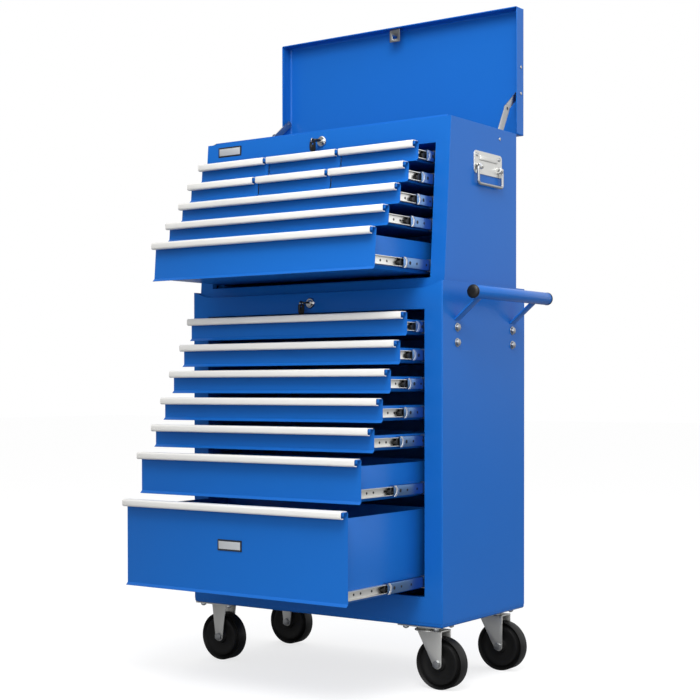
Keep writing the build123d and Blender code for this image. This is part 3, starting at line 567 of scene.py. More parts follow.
def wire(name: str, points: Sequence[Point3], radius: float, bend: float) -> bpy.types.Object:
    """Makes a bent round wire.

    Args:
        name: Name of the object.
        points: Corners of the wire's middle line.
        radius: Radius of the wire.
        bend: Cut-back of each corner before it is rounded.

    Returns:
        The object.
    """
    line = [Vector(p) for p in points]
    obj = start_point(name, line[0])
    trace(line)
    bpy.ops.mesh.select_all(action="DESELECT")
    bpy.ops.object.mode_set(mode="OBJECT")
    ends = [line[0], line[-1]]
    for vertex in obj.data.vertices:
        vertex.select = min((vertex.co - e).length for e in ends) > 1e-6
    bpy.ops.object.mode_set(mode="EDIT")
    bpy.ops.mesh.bevel(offset=bend, segments=6, affect="VERTICES")
    bpy.ops.object.mode_set(mode="OBJECT")
    activate(obj)
    bpy.ops.object.convert(target="CURVE")
    obj = bpy.context.active_object
    obj.data.bevel_depth = radius
    obj.data.bevel_resolution = 5
    obj.data.use_fill_caps = True
    bpy.ops.object.convert(target="MESH")
    obj = bpy.context.active_object
    obj.name = name
    obj.data.name = name
    bpy.ops.object.shade_smooth_by_angle(angle=math.radians(40))
    return obj


def pick(obj: bpy.types.Object, kind: str, test: Callable[[Vector], bool]) -> None:
    """Enters edit mode with only the elements selected whose middle passes a test.

    Args:
        obj: The object.
        kind: FACE or EDGE.
        test: Takes the element's middle.
    """
    activate(obj)
    bpy.ops.object.mode_set(mode="EDIT")
    bpy.ops.mesh.select_mode(type=kind)
    bpy.ops.mesh.select_all(action="DESELECT")
    bpy.ops.object.mode_set(mode="OBJECT")
    mesh = obj.data
    if kind == "FACE":
        for face in mesh.polygons:
            face.select = test(face.center)
    else:
        for line in mesh.edges:
            a, b = (mesh.vertices[i].co for i in line.vertices)
            line.select = test((a + b) / 2)
    bpy.ops.object.mode_set(mode="EDIT")


def cut(
    obj: bpy.types.Object, faces: Callable[[Vector], bool], point: Point3, normal: Point3, clear: bool = False
) -> None:
    """Bisects some faces of an object with a plane.

    Args:
        obj: The object.
        faces: Picks the faces by their middle.
        point: Point on the plane.
        normal: Normal of the plane.
        clear: Whether what lies on the normal's side is removed.
    """
    pick(obj, "FACE", faces)
    bpy.ops.mesh.bisect(plane_co=point, plane_no=normal, clear_outer=clear)
    bpy.ops.object.mode_set(mode="OBJECT")


def thicken(obj: bpy.types.Object, thickness: float) -> None:
    """Gives a surface its sheet thickness, on the inner side.

    Args:
        obj: The object.
        thickness: Thickness of the sheet.
    """
    activate(obj)
    solid = obj.modifiers.new("sheet", "SOLIDIFY")
    solid.thickness = thickness
    solid.offset = -1.0
    solid.use_even_offset = True
    bpy.ops.object.modifier_apply(modifier=solid.name)


def join(name: str, parts: Sequence[bpy.types.Object]) -> bpy.types.Object:
    """Joins several objects into one.

    Args:
        name: Name of the result.
        parts: The objects.

    Returns:
        The joined object.
    """
    bpy.ops.object.select_all(action="DESELECT")
    for part in parts:
        part.select_set(True)
    bpy.context.view_layer.objects.active = parts[0]
    if len(parts) > 1:
        bpy.ops.object.join()
    parts[0].name = name
    parts[0].data.name = name
    return parts[0]


def subtract(obj: bpy.types.Object, cutter: bpy.types.Object) -> None:
    """Cuts one object out of another and removes the cutter.

    Args:
        obj: What is cut.
        cutter: What cuts it.
    """
    activate(obj)
    hole = obj.modifiers.new("hole", "BOOLEAN")
    hole.operation = "DIFFERENCE"
    hole.object = cutter
    hole.solver = "EXACT"
    bpy.ops.object.modifier_apply(modifier=hole.name)
    bpy.data.objects.remove(cutter, do_unlink=True)


def mirrored(obj: bpy.types.Object, name: str) -> bpy.types.Object:
    """Copies an object to the other side of the YZ plane.

    Args:
        obj: The object.
        name: Name of the copy.

    Returns:
        The copy.
    """
    activate(obj)
    bpy.ops.object.duplicate()
    copy = bpy.context.active_object
    copy.name = name
    copy.data.name = name
    bpy.ops.transform.resize(value=(-1, 1, 1), center_override=(0, 0, 0))
    bpy.ops.object.transform_apply(location=True, rotation=True, scale=True)
    bpy.ops.object.mode_set(mode="EDIT")
    bpy.ops.mesh.select_all(action="SELECT")
    bpy.ops.mesh.normals_make_consistent(inside=False)
    bpy.ops.object.mode_set(mode="OBJECT")
    return copy


# ------------------------------------------------------------------ assembly
@dataclass
class Workshop:
    """Dresses finished pieces and ties them to the CAD frame.

    Attributes:
        paint: The shared materials.
        frame_nodes: The CAD nodes by name.
    """

    paint: Paintbox
    frame_nodes: dict[str, bpy.types.Object]

    def fit(
        self,
        obj: bpy.types.Object,
        finish: Finishes,
        body: str,
        slot: Optional[Slot] = None,
        replaces: Sequence[str] = (),
    ) -> bpy.types.Object:
        """Gives a piece its material and its body.

        Args:
            obj: The piece.
            finish: Its finish.
            body: The CAD body it moves with.
            slot: The record's slot for the same finish; not used.
            replaces: CAD nodes it stands for.

        Returns:
            The piece.
        """
        obj.data.materials.clear()
        obj.data.materials.append(self.paint.get(finish))
        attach(obj, body)
        if replaces:
            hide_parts(*replaces)
        return obj

    def dress_node(self, node: str, finish: Finishes) -> None:
        """Shows a CAD node itself with a finish.

        Args:
            node: Name of the node.
            finish: Its finish.
        """
        obj = self.frame_nodes[node]
        obj.data.materials.clear()
        obj.data.materials.append(self.paint.get(finish))


@dataclass(frozen=True)
class Sheet:
    """Sheet metal sizes shared by both boxes."""

    wall: float = 1.0 * MM
    drawer_wall: float = 0.8 * MM
    flange: float = 15.0 * MM
    corner: float = 2.2 * MM


SHEET = Sheet()


@dataclass
class Cabinet:
    """Roller cabinet body.

    Attributes:
        shop: The workshop.
        stile: Width of the front's uprights.
        sill: Height of the opening above the shell's foot.
        opening: Height of the opening.
        rim_drop: How far the front rail is below the corners.
    """

    shop: Workshop
    stile: float = 40.0 * MM
    sill: float = 49.0 * MM
    opening: float = 549.0 * MM
    rim_drop: float = 12.7 * MM

    def build(self) -> None:
        """Builds the shell and the base pan, and dresses the top tray and the inside."""
        self._shell()
        self._base_pan()
        for node in ("cabinet_top_tray", "slide_posts", "chest_drawer_dividers", "chest_compartment_tray"):
            self.shop.dress_node(node, Finishes.BLUE_POWDER_COAT)
        self.shop.dress_node("fixed_slide_rails", Finishes.ZINC_PLATED_STEEL)

    def _shell(self) -> None:
        """Builds the wrapped sides, back and framed front."""
        lo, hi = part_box("cabinet_shell")
        half, front = hi[0] - self.stile, lo[1]
        foot, head = lo[2] + self.sill, lo[2] + self.sill + self.opening
        rail = hi[2] - self.rim_drop
        shell = block("cabinet_shell_sheet", lo, hi, 0.0)
        pick(shell, "FACE", lambda c: abs(c.z - lo[2]) < 1e-5 or abs(c.z - hi[2]) < 1e-5)
        bpy.ops.mesh.delete(type="FACE")
        bpy.ops.object.mode_set(mode="OBJECT")

        def on_front(c: Vector) -> bool:
            return abs(c.y - front) < 1e-5

        for x in (-half, half):
            cut(shell, on_front, (x, front, 0), (1, 0, 0))
        for z in (foot, head):
            cut(shell, on_front, (0, front, z), (0, 0, 1))
        cut(shell, lambda c: on_front(c) and c.z > head and abs(c.x) < half, (0, front, rail), (0, 0, 1))
        rise = hi[2] - rail
        for side in (-1, 1):
            cut(
                shell,
                lambda c: on_front(c) and c.z > head and c.x * side > half,
                (side * half, front, rail),
                (-side * rise, 0, self.stile),
            )

        def is_open(c: Vector) -> bool:
            slope_top = rail + max(0.0, abs(c.x) - half) * rise / self.stile
            return on_front(c) and (c.z > slope_top or (foot < c.z < head and abs(c.x) < half))

        pick(shell, "FACE", is_open)
        bpy.ops.mesh.delete(type="FACE")
        bpy.ops.object.mode_set(mode="OBJECT")

        def on_hole(c: Vector) -> bool:
            upright = abs(abs(c.x) - half) < 1e-5 and foot < c.z < head
            level = min(abs(c.z - foot), abs(c.z - head)) < 1e-5 and abs(c.x) < half
            return on_front(c) and (upright or level)

        pick(shell, "EDGE", on_hole)
        bpy.ops.mesh.extrude_region_move(TRANSFORM_OT_translate={"value": (0, SHEET.flange, 0)})
        bpy.ops.object.mode_set(mode="OBJECT")
        pick(shell, "EDGE", lambda c: on_front(c) and abs(c.z - rail) < 1e-5 and abs(c.x) < half)
        bpy.ops.mesh.extrude_region_move(TRANSFORM_OT_translate={"value": (0, SHEET.flange, 0)})
        bpy.ops.object.mode_set(mode="OBJECT")
        pick(shell, "EDGE", lambda c: abs(abs(c.x) - hi[0]) < 1e-5 and abs(abs(c.y) - hi[1]) < 1e-5)
        bpy.ops.mesh.bevel(offset=SHEET.corner, segments=4)
        bpy.ops.object.mode_set(mode="OBJECT")
        thicken(shell, SHEET.wall)
        soften(shell, 0.3 * MM)
        self.shop.fit(shell, Finishes.BLUE_POWDER_COAT, "cabinet", Slot.BLUE, ["cabinet_shell"])

    def _base_pan(self) -> None:
        """Builds the pan that closes the foot."""
        lo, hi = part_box("cabinet_base_pan")
        pan = block("cabinet_base_pan_sheet", lo, hi, 0.0)
        pick(pan, "FACE", lambda c: abs(c.z - hi[2]) < 1e-5)
        bpy.ops.mesh.delete(type="FACE")
        bpy.ops.object.mode_set(mode="OBJECT")
        pick(pan, "EDGE", lambda c: abs(c.z - lo[2]) < 1e-5)
        bpy.ops.mesh.bevel(offset=4.0 * MM, segments=3)
        bpy.ops.object.mode_set(mode="OBJECT")
        thicken(pan, SHEET.wall)
        soften(pan, 0.2 * MM)
        self.shop.fit(pan, Finishes.BLUE_POWDER_COAT, "cabinet", Slot.BLUE, ["cabinet_base_pan"])


@dataclass
class Chest:
    """Top chest body.

    Attributes:
        shop: The workshop.
        stile: Width of the front's uprights.
        sill: Height of the opening above the floor.
        opening: Height of the opening.
        lean: How far the front leans back from foot to top.
        lip: Height of the rain lip behind the top edge.
    """

    shop: Workshop
    stile: float = 32.0 * MM
    sill: float = 29.0 * MM
    opening: float = 260.0 * MM
    lean: float = 27.0 * MM
    lip: float = 5.0 * MM

    def build(self) -> None:
        """Builds the body with its leaning framed front, hems and lip."""
        lo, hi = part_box("chest_shell")
        top = hi[2] - self.lip
        half = hi[0] - self.stile
        foot, head = lo[2] + self.sill, lo[2] + self.sill + self.opening
        slope = self.lean / (top - lo[2])

        def face(z: float) -> float:
            return lo[1] + slope * (z - lo[2])

        body = block("chest_body_sheet", lo, (hi[0], hi[1], top), 0.0)
        pick(body, "FACE", lambda c: abs(c.z - top) < 1e-5)
        bpy.ops.mesh.delete(type="FACE")
        bpy.ops.object.mode_set(mode="OBJECT")
        pick(body, "EDGE", lambda c: abs(c.y - lo[1]) < 1e-5 and abs(c.z - top) < 1e-5)
        bpy.ops.transform.translate(value=(0, self.lean, 0))
        bpy.ops.object.mode_set(mode="OBJECT")

        def on_front(c: Vector) -> bool:
            return abs(c.y - face(c.z)) < 1e-5

        for x in (-half, half):
            cut(body, on_front, (x, lo[1], 0), (1, 0, 0))
        for z in (foot, head):
            cut(body, on_front, (0, lo[1], z), (0, 0, 1))
        pick(body, "FACE", lambda c: on_front(c) and foot < c.z < head and abs(c.x) < half)
        bpy.ops.mesh.delete(type="FACE")
        bpy.ops.object.mode_set(mode="OBJECT")

        def on_hole(c: Vector) -> bool:
            upright = abs(abs(c.x) - half) < 1e-5 and foot < c.z < head
            level = min(abs(c.z - foot), abs(c.z - head)) < 1e-5 and abs(c.x) < half
            return on_front(c) and (upright or level)

        pick(body, "EDGE", on_hole)
        bpy.ops.mesh.extrude_region_move(TRANSFORM_OT_translate={"value": (0, SHEET.flange, 0)})
        bpy.ops.object.mode_set(mode="OBJECT")
        middle = (lo[2] + top) / 2
        pick(
            body,
            "EDGE",
            lambda c: abs(abs(c.x) - hi[0]) < 1e-5 and abs(c.z - middle) < 1e-3,
        )
        bpy.ops.mesh.bevel(offset=SHEET.corner, segments=4)
        bpy.ops.object.mode_set(mode="OBJECT")
        thicken(body, SHEET.wall)
        soften(body, 0.3 * MM)
        front = face(top)
        hem_low, hem_high = front + SHEET.flange, hi[1] - 22 * MM
        hem = block(
            "hem",
            (hi[0] - 2.2 * SHEET.wall, hem_low, top - 8 * MM),
            (hi[0] - 0.9 * SHEET.wall, hem_high, top),
        )
        other_hem = mirrored(hem, "hem_left")
        lip_path = [
            (front + 0.5 * MM, top - SHEET.wall),
            (front + 11 * MM, top - SHEET.wall),
            (front + 11 * MM, top + self.lip),
        ]
        lip = fold("lip", lip_path, "X", -hi[0] + 14 * MM, hi[0] - 14 * MM, SHEET.wall, 0.6 * MM)
        body = join("chest_body_sheet", [body, hem, other_hem, lip])
        self.shop.fit(body, Finishes.BLUE_POWDER_COAT, "cabinet", Slot.BLUE, ["chest_shell"])


# The chest's front leans back by 27 mm over its height of 338 mm.
CHEST_LEAN = 27.0 / 338.0


@dataclass(frozen=True)
class SlideSizes:
    """Sections of the three rails of a slide."""

    wall: float = 1.2 * MM
    middle_depth: float = 9.3 * MM
    inner_depth: float = 9.4 * MM
    space: float = 14.0 * MM
    middle_setoff: float = 2.2 * MM
    inner_height: float = 16.4 * MM
    front_setback: float = 2.0 * MM
    catch_setback: float = 3.2 * MM


SLIDE = SlideSizes()


@dataclass
class Drawer:
    """One drawer with its pull and its slide rails.

    Attributes:
        shop: The workshop.
        node: Name of the CAD node, which is also its body.
        slope: How much the front leans back per unit of height.
        left_inset: From the front's left end to the tray's side.
        right_inset: The same on the right.
    """

    shop: Workshop
    node: str
    slope: float = 0.0
    left_inset: float = 11.0 * MM
    right_inset: float = 11.0 * MM
    pull_height: float = 14.0 * MM
    pull_reach: float = 18.5 * MM
    pull_inset: float = 3.0 * MM
    lip: float = 5.0 * MM

    def build(self) -> None:
        """Builds every piece of the drawer and its slide."""
        self.lo, self.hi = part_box(self.node)
        self.top = self.hi[2]
        self.foot = self.lo[2] + 0.57 * MM
        self.face_top = self.lo[1] + self.pull_reach
        self._tray()
        self._pull()
        self._rails()

    def front_y(self, level: float) -> float:
        """Finds the front face.

        Args:
            level: Height.

        Returns:
            Y of the front face at that height.
        """
        return self.face_top - self.slope * (self.top - level)

    def _tray(self) -> None:
        """Builds the folded tray, its back and its front."""
        wall = SHEET.drawer_wall
        low, high = self.lo[0] + self.left_inset, self.hi[0] - self.right_inset
        floor, side_top, back = self.foot + 3 * MM, self.top - self.pull_height, self.hi[1]
        if self.slope:
            back = self.front_y(self.foot) + 236 * MM
        path = [
            (low, side_top),
            (low, floor + 5 * MM),
            (low + 5 * MM, floor),
            (high - 5 * MM, floor),
            (high, floor + 5 * MM),
            (high, side_top),
        ]
        start = self.front_y(self.foot) - 2 * MM
        body = fold(self.node + "_tray_sheet", path, "Y", start, back, wall, 1.2 * MM, 0.2 * MM)
        normal = Vector((0, -1, self.slope)).normalized()
        cut(body, lambda c: True, (0, self.front_y(self.foot) + wall / 2, self.foot), tuple(normal), True)
        panel = prism("panel", path, "Y", back - wall, back, 0.2 * MM)
        parts = [body, panel]
        for x, side in ((low, 1), (high, -1)):
            ends = sorted((x + side * wall * 0.9, x + side * 2.2 * wall))
            parts.append(
                block(
                    "hem",
                    (ends[0], self.front_y(side_top) + 2 * wall, side_top - 6 * MM),
                    (ends[1], back - wall, side_top),
                    0.25 * MM,
                )
            )
        curl_top = self.top - 2.4 * MM
        front = [
            (self.front_y(curl_top) - 12 * MM, curl_top - 6 * MM),
            (self.front_y(curl_top) - 12 * MM, curl_top),
            (self.front_y(curl_top), curl_top),
            (self.front_y(self.foot + self.lip), self.foot + self.lip),
            (self.front_y(self.foot) - self.lip, self.foot),
        ]
        parts.append(fold("front", front, "X", self.lo[0], self.hi[0], wall, 1.4 * MM, 0.2 * MM))
        tray = join(self.node + "_tray_sheet", parts)
        self.shop.fit(tray, Finishes.BLUE_POWDER_COAT, self.node, Slot.BLUE, [self.node])

    def _pull(self) -> None:
        """Builds the extruded pull along the front's top edge."""
        top, reach = self.top, self.lo[1]
        path = [
            (self.face_top + 0.8 * MM, top),
            (reach, top),
            (reach, top - self.pull_height),
            (reach + 9 * MM, top - self.pull_height),
        ]
        low, high = self.lo[0] + self.pull_inset, self.hi[0] - self.pull_inset
        pull = fold(self.node + "_pull_extrusion", path, "X", low, high, 1.4 * MM, 4.0 * MM, 0.25 * MM)
        self.shop.fit(pull, Finishes.ANODISED_ALUMINIUM, self.node)

    def _rails(self) -> None:
        """Builds the rail pair on the drawer and the middle pair that follows it."""
        node = self.node + "_slide_rails"
        lo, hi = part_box(node)
        level = (lo[2] + hi[2]) / 2
        face = self.front_y(level)
        length = hi[1] - lo[1]
        start = face + SLIDE.front_setback
        half = SLIDE.inner_height / 2
        tall = (hi[2] - lo[2]) / 2
        inner, middle, catches, levers, hole_shade_discs, slot_shade_discs, studs = [], [], [], [], [], [], []
        for side, web in ((-1, lo[0]), (1, hi[0])):
            plane = web + side * (SLIDE.middle_setoff - SLIDE.space)
            tip = plane + side * SLIDE.inner_depth
            path = [(tip, level - half), (plane, level - half), (plane, level + half), (tip, level + half)]
            path = path if side < 0 else path[::-1]
            inner.append(fold("inner", path, "Y", start, start + length, SLIDE.wall, 1.0 * MM, 0.15 * MM))
            tip = web - side * SLIDE.middle_depth
            path = [(tip, level - tall), (web, level - tall), (web, level + tall), (tip, level + tall)]
            path = path if side > 0 else path[::-1]
            middle.append(fold("middle", path, "Y", lo[1], hi[1], SLIDE.wall, 1.2 * MM, 0.15 * MM))
            catches.append(self._catch(side, web, lo[1] + SLIDE.catch_setback, level, tall))
            levers.append(self._lever(side, plane, lo[1], level))
            for gap in (10, 30, 52, 88):
                y = start + gap * MM
                if y < lo[1] - 16 * MM:
                    low, high = sorted((plane + side * 0.8 * MM, plane + side * 1.6 * MM))
                    # The first stud is a screw head; the other black discs are painted shade where the inner rail
                    # has holes.
                    target = studs if gap == 10 else hole_shade_discs
                    target.append(rod("dot", "X", 2.4 * MM, low, high, (y, level), 0.2 * MM, 20))
            # Black discs on the middle rail's web: painted shade where the rail has holes and slots.
            for gap, size in ((22, 3.4), (46, 2.4), (80, 2.4)):
                low, high = sorted((web - side * 0.2 * MM, web + side * 0.35 * MM))
                slot_shade_discs.append(rod("slot", "X", size * MM, low, high, (lo[1] + gap * MM, level), 0.1 * MM, 20))
        fit = self.shop.fit
        fit(join(self.node + "_rails", inner), Finishes.SATIN_ZINC_SHEET, self.node, Slot.ZINC)
        body = self.node + "_middle_rails"
        sheet = join(self.node + "_middle_rails_sheet", middle)
        # The middle rails' darker blue colour is painted shade and a painted reflection of the blue cabinet.
        fit(sheet, Finishes.ZINC_PAINTED_SHADE_AND_BLUE_REFLECTION, body, Slot.ZINC, [node])
        fit(join(self.node + "_rail_catches", catches), Finishes.SATIN_ZINC_SHEET, body)
        fit(join(self.node + "_levers", levers), Finishes.BLACK_NYLON_AND_HOLE_SHADE, self.node)
        # Painted shade in the rails' holes, given the black nylon finish.
        fit(join(self.node + "_middle_rail_hole_shade", slot_shade_discs), Finishes.BLACK_NYLON_AND_HOLE_SHADE, body)
        if hole_shade_discs:
            fit(join(self.node + "_rail_hole_shade", hole_shade_discs), Finishes.BLACK_NYLON_AND_HOLE_SHADE, self.node)
        if studs:
            fit(join(self.node + "_rail_screws", studs), Finishes.POLISHED_CHROME, self.node)

    @staticmethod
    def _catch(side: int, web: float, front: float, level: float, tall: float) -> bpy.types.Object:
        """Builds the notched bright end of a middle rail.

        Args:
            side: -1 for the left rail, 1 for the right.
            web: X of the rail's web.
            front: Y of the rail's front end.
            level: Height of the rail's middle line.
            tall: Half the rail's height.

        Returns:
            The rail end.
        """
        outline = [
            (front - 3 * MM, level - tall),
            (front + 4 * MM, level - tall),
            (front + 11 * MM, level - 0.45 * tall),
            (front + 11 * MM, level + 0.45 * tall),
            (front + 4 * MM, level + tall),
            (front - 3 * MM, level + tall),
            (front + 4 * MM, level + 0.4 * tall),
            (front + 4 * MM, level - 0.4 * tall),
        ]
        low, high = sorted((web - side * 1.0 * MM, web + side * 0.6 * MM))
        return prism("catch", outline, "X", low, high, 0.2 * MM)

    @staticmethod
    def _lever(side: int, plane: float, front: float, level: float) -> bpy.types.Object:
        """Builds the black release lever and cage end in front of a middle rail.

        Args:
            side: -1 for the left rail, 1 for the right.
            plane: X of the drawer's side.
            front: Y of the middle rail's front end.
            level: Height of the rail's middle line.

        Returns:
            The lever.
        """
        outline = [
            (front - 14 * MM, level - 2.2 * MM),
            (front - 8 * MM, level - 6.6 * MM),
            (front - 0.5 * MM, level - 6.6 * MM),
            (front - 0.5 * MM, level + 6.6 * MM),
            (front - 6 * MM, level + 6.6 * MM),
            (front - 9 * MM, level + 2.2 * MM),
            (front - 14 * MM, level + 2.2 * MM),
        ]
        low, high = sorted((plane + side * 1.3 * MM, plane + side * 8.6 * MM))
        return prism("lever", outline, "X", low, high, 0.4 * MM)


@dataclass
class Lid:
    """Open lid with its hinge, catch, rivets and stays."""

    shop: Workshop
    knuckle: float = 2.6 * MM
    rim_gap: float = 1.0 * MM

    def build(self) -> None:
        """Builds the lid and what holds it."""
        lo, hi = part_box("chest_lid")
        rim, foot = lo[1] + self.knuckle + self.rim_gap, lo[2] + self.knuckle
        pan = block("lid_sheet", (lo[0], rim, foot), hi, 0.0)
        pick(pan, "FACE", lambda c: abs(c.y - rim) < 1e-5)
        bpy.ops.mesh.delete(type="FACE")
        bpy.ops.object.mode_set(mode="OBJECT")
        pick(pan, "EDGE", lambda c: abs(c.y - hi[1]) < 1e-5)
        bpy.ops.mesh.bevel(offset=6.0 * MM, segments=5)
        bpy.ops.object.mode_set(mode="OBJECT")
        pick(pan, "EDGE", lambda c: abs(abs(c.x) - hi[0]) < 1e-5 and rim < c.y < hi[1] - 7 * MM)
        bpy.ops.mesh.bevel(offset=3.0 * MM, segments=4)
        bpy.ops.object.mode_set(mode="OBJECT")
        thicken(pan, SHEET.wall)
        soften(pan, 0.3 * MM)
        hems = []
        for x in (lo[0], hi[0]):
            side = 1 if x < 0 else -1
            ends = sorted((x + side * 0.9 * SHEET.wall, x + side * 2.1 * SHEET.wall))
            hems.append(block("hem", (ends[0], rim, foot + 22 * MM), (ends[1], rim + 9 * MM, hi[2] - 5 * MM)))
        hems.append(
            block(
                "hem",
                (lo[0] + 5 * MM, rim, hi[2] - 2.1 * SHEET.wall),
                (hi[0] - 5 * MM, rim + 9 * MM, hi[2] - 0.9 * SHEET.wall),
            )
        )
        pan = join("lid_sheet", [pan, *hems])
        self.shop.fit(pan, Finishes.BLUE_POWDER_COAT, "lid", Slot.BLUE, ["chest_lid"])
        self._hinge(lo, hi, foot)
        self._catch(hi, rim)
        self._rivets(hi, rim, foot)
        self._stays()

    def _hinge(self, lo: Vector, hi: Vector, foot: float) -> None:
        """Builds the moving half of the piano hinge."""
        axis_y, axis_z = lo[1] + self.knuckle, lo[2] + self.knuckle
        half = hi[0] - 12 * MM
        pitch = 2 * half / 15
        parts = [
            block(
                "leaf",
                (-half, axis_y + 3.4 * MM, foot + SHEET.wall),
                (half, axis_y + 20 * MM, foot + 2 * SHEET.wall),
                0.2 * MM,
            )
        ]
        for index in range(1, 15, 2):
            low = -half + index * pitch + 0.4 * MM
            high = low + pitch - 0.8 * MM
            parts.append(rod("knuckle", "X", self.knuckle, low, high, (axis_y, axis_z), 0.3 * MM, 24))
            tab_low = (low, axis_y, foot + SHEET.wall)
            tab_high = (high, axis_y + 4.4 * MM, foot + 2 * SHEET.wall)
            parts.append(block("tab", tab_low, tab_high, 0.2 * MM))
        self.shop.fit(join("lid_hinge_leaf", parts), Finishes.ZINC_PLATED_STEEL, "lid", Slot.ZINC)
        self.shop.dress_node("lid_hinge", Finishes.ZINC_PLATED_STEEL)

    def _catch(self, hi: Vector, rim: float) -> None:
        """Builds the folded catch that the chest's lock bolt holds."""
        under, plane = hi[2] - SHEET.wall, rim + 7 * MM
        path = [(plane + 14 * MM, under), (plane, under), (plane, hi[2] - 30 * MM)]
        plate = fold("lid_catch", path, "X", -13 * MM, 13 * MM, 1.2 * MM, 1.6 * MM)
        slot_low = (-6 * MM, plane - 4 * MM, hi[2] - 24 * MM)
        slot_high = (6 * MM, plane + 4 * MM, hi[2] - 18 * MM)
        slot = block("slot", slot_low, slot_high, 0.0)
        subtract(plate, slot)
        self.shop.fit(plate, Finishes.ZINC_PLATED_STEEL, "lid", Slot.ZINC)

    def _rivets(self, hi: Vector, rim: float, foot: float) -> None:
        """Builds the rivet heads on the lid's sides and the pins of the stays."""
        pin_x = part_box("lid_stay_upper_links")[1][0]
        heads = []
        pivot = (rim + 17 * MM, foot + 86 * MM)
        for rise, across in ((86 * MM, 17 * MM), (140 * MM, 17 * MM)):
            for side in (-1, 1):
                low, high = sorted((side * (hi[0] - 0.3 * MM), side * (hi[0] + 1.2 * MM)))
                at = (rim + across, foot + rise)
                heads.append(rod("rivet", "X", 3.4 * MM, low, high, at, 0.5 * MM, 24))
        for side in (-1, 1):
            low, high = sorted((side * (pin_x - 2.6 * MM), side * (hi[0] - 0.9 * MM)))
            heads.append(rod("pin", "X", 3.0 * MM, low, high, pivot, 0.3 * MM, 24))
        self.shop.fit(join("lid_rivets", heads), Finishes.ZINC_PLATED_STEEL, "lid", Slot.ZINC)

    def _stays(self) -> None:
        """Builds the two-link folding stays on both sides."""
        chest_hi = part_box("chest_shell")[1]
        lower_lo, lower_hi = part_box("lid_stay_lower_links")
        upper_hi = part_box("lid_stay_upper_links")[1]
        wide, narrow = 18 * MM, 14 * MM
        body = Vector((chest_hi[1] - 72 * MM, lower_lo[2] + wide / 2))
        knee = Vector((lower_hi[1] - wide / 2, lower_hi[2] - wide / 2))
        head = Vector((upper_hi[1] - narrow / 2, upper_hi[2] - narrow / 2))
        lower_x = lower_hi[0] - 1.25 * MM
        upper_x = upper_hi[0]
        pairs = (
            ("stay_lower", body, knee, wide, lower_x, "lid_stay_lower_links"),
            ("stay_upper", head, knee, narrow, upper_x, "lid_stay_upper_links"),
        )
        for ride_on, start, end, width, outer, node in pairs:
            link = self._link(start, end, width, outer)
            other = mirrored(link, "link_left")
            link = join(node + "_strap", [link, other])
            self.shop.fit(link, Finishes.ZINC_PLATED_STEEL, ride_on, Slot.ZINC, [node])
        heads = []
        for side in (-1, 1):
            low, high = sorted((side * (upper_x - 3.2 * MM), side * lower_x))
            heads.append(rod("knee_rivet", "X", 3.6 * MM, low, high, tuple(knee), 0.5 * MM, 24))
        self.shop.fit(join("stay_knee_rivets", heads), Finishes.ZINC_PLATED_STEEL, "stay_lower", Slot.ZINC)

    @staticmethod
    def _link(start: Vector, end: Vector, width: float, outer: float) -> bpy.types.Object:
        """Builds a flat link with round ends.

        Args:
            start: First pivot as (y, z).
            end: Second pivot as (y, z).
            width: Width of the link.
            outer: X of its outer face.

        Returns:
            The link.
        """
        along = (end - start).normalized()
        angle = math.atan2(along.y, along.x)
        outline = []
        for centre, turn in ((start, math.pi / 2), (end, -math.pi / 2)):
            for step in range(13):
                a = angle + turn + math.pi * step / 12
                outline.append((centre.x + math.cos(a) * width / 2, centre.y + math.sin(a) * width / 2))
        return prism("link", outline, "X", outer - 2 * MM, outer, 0.3 * MM)


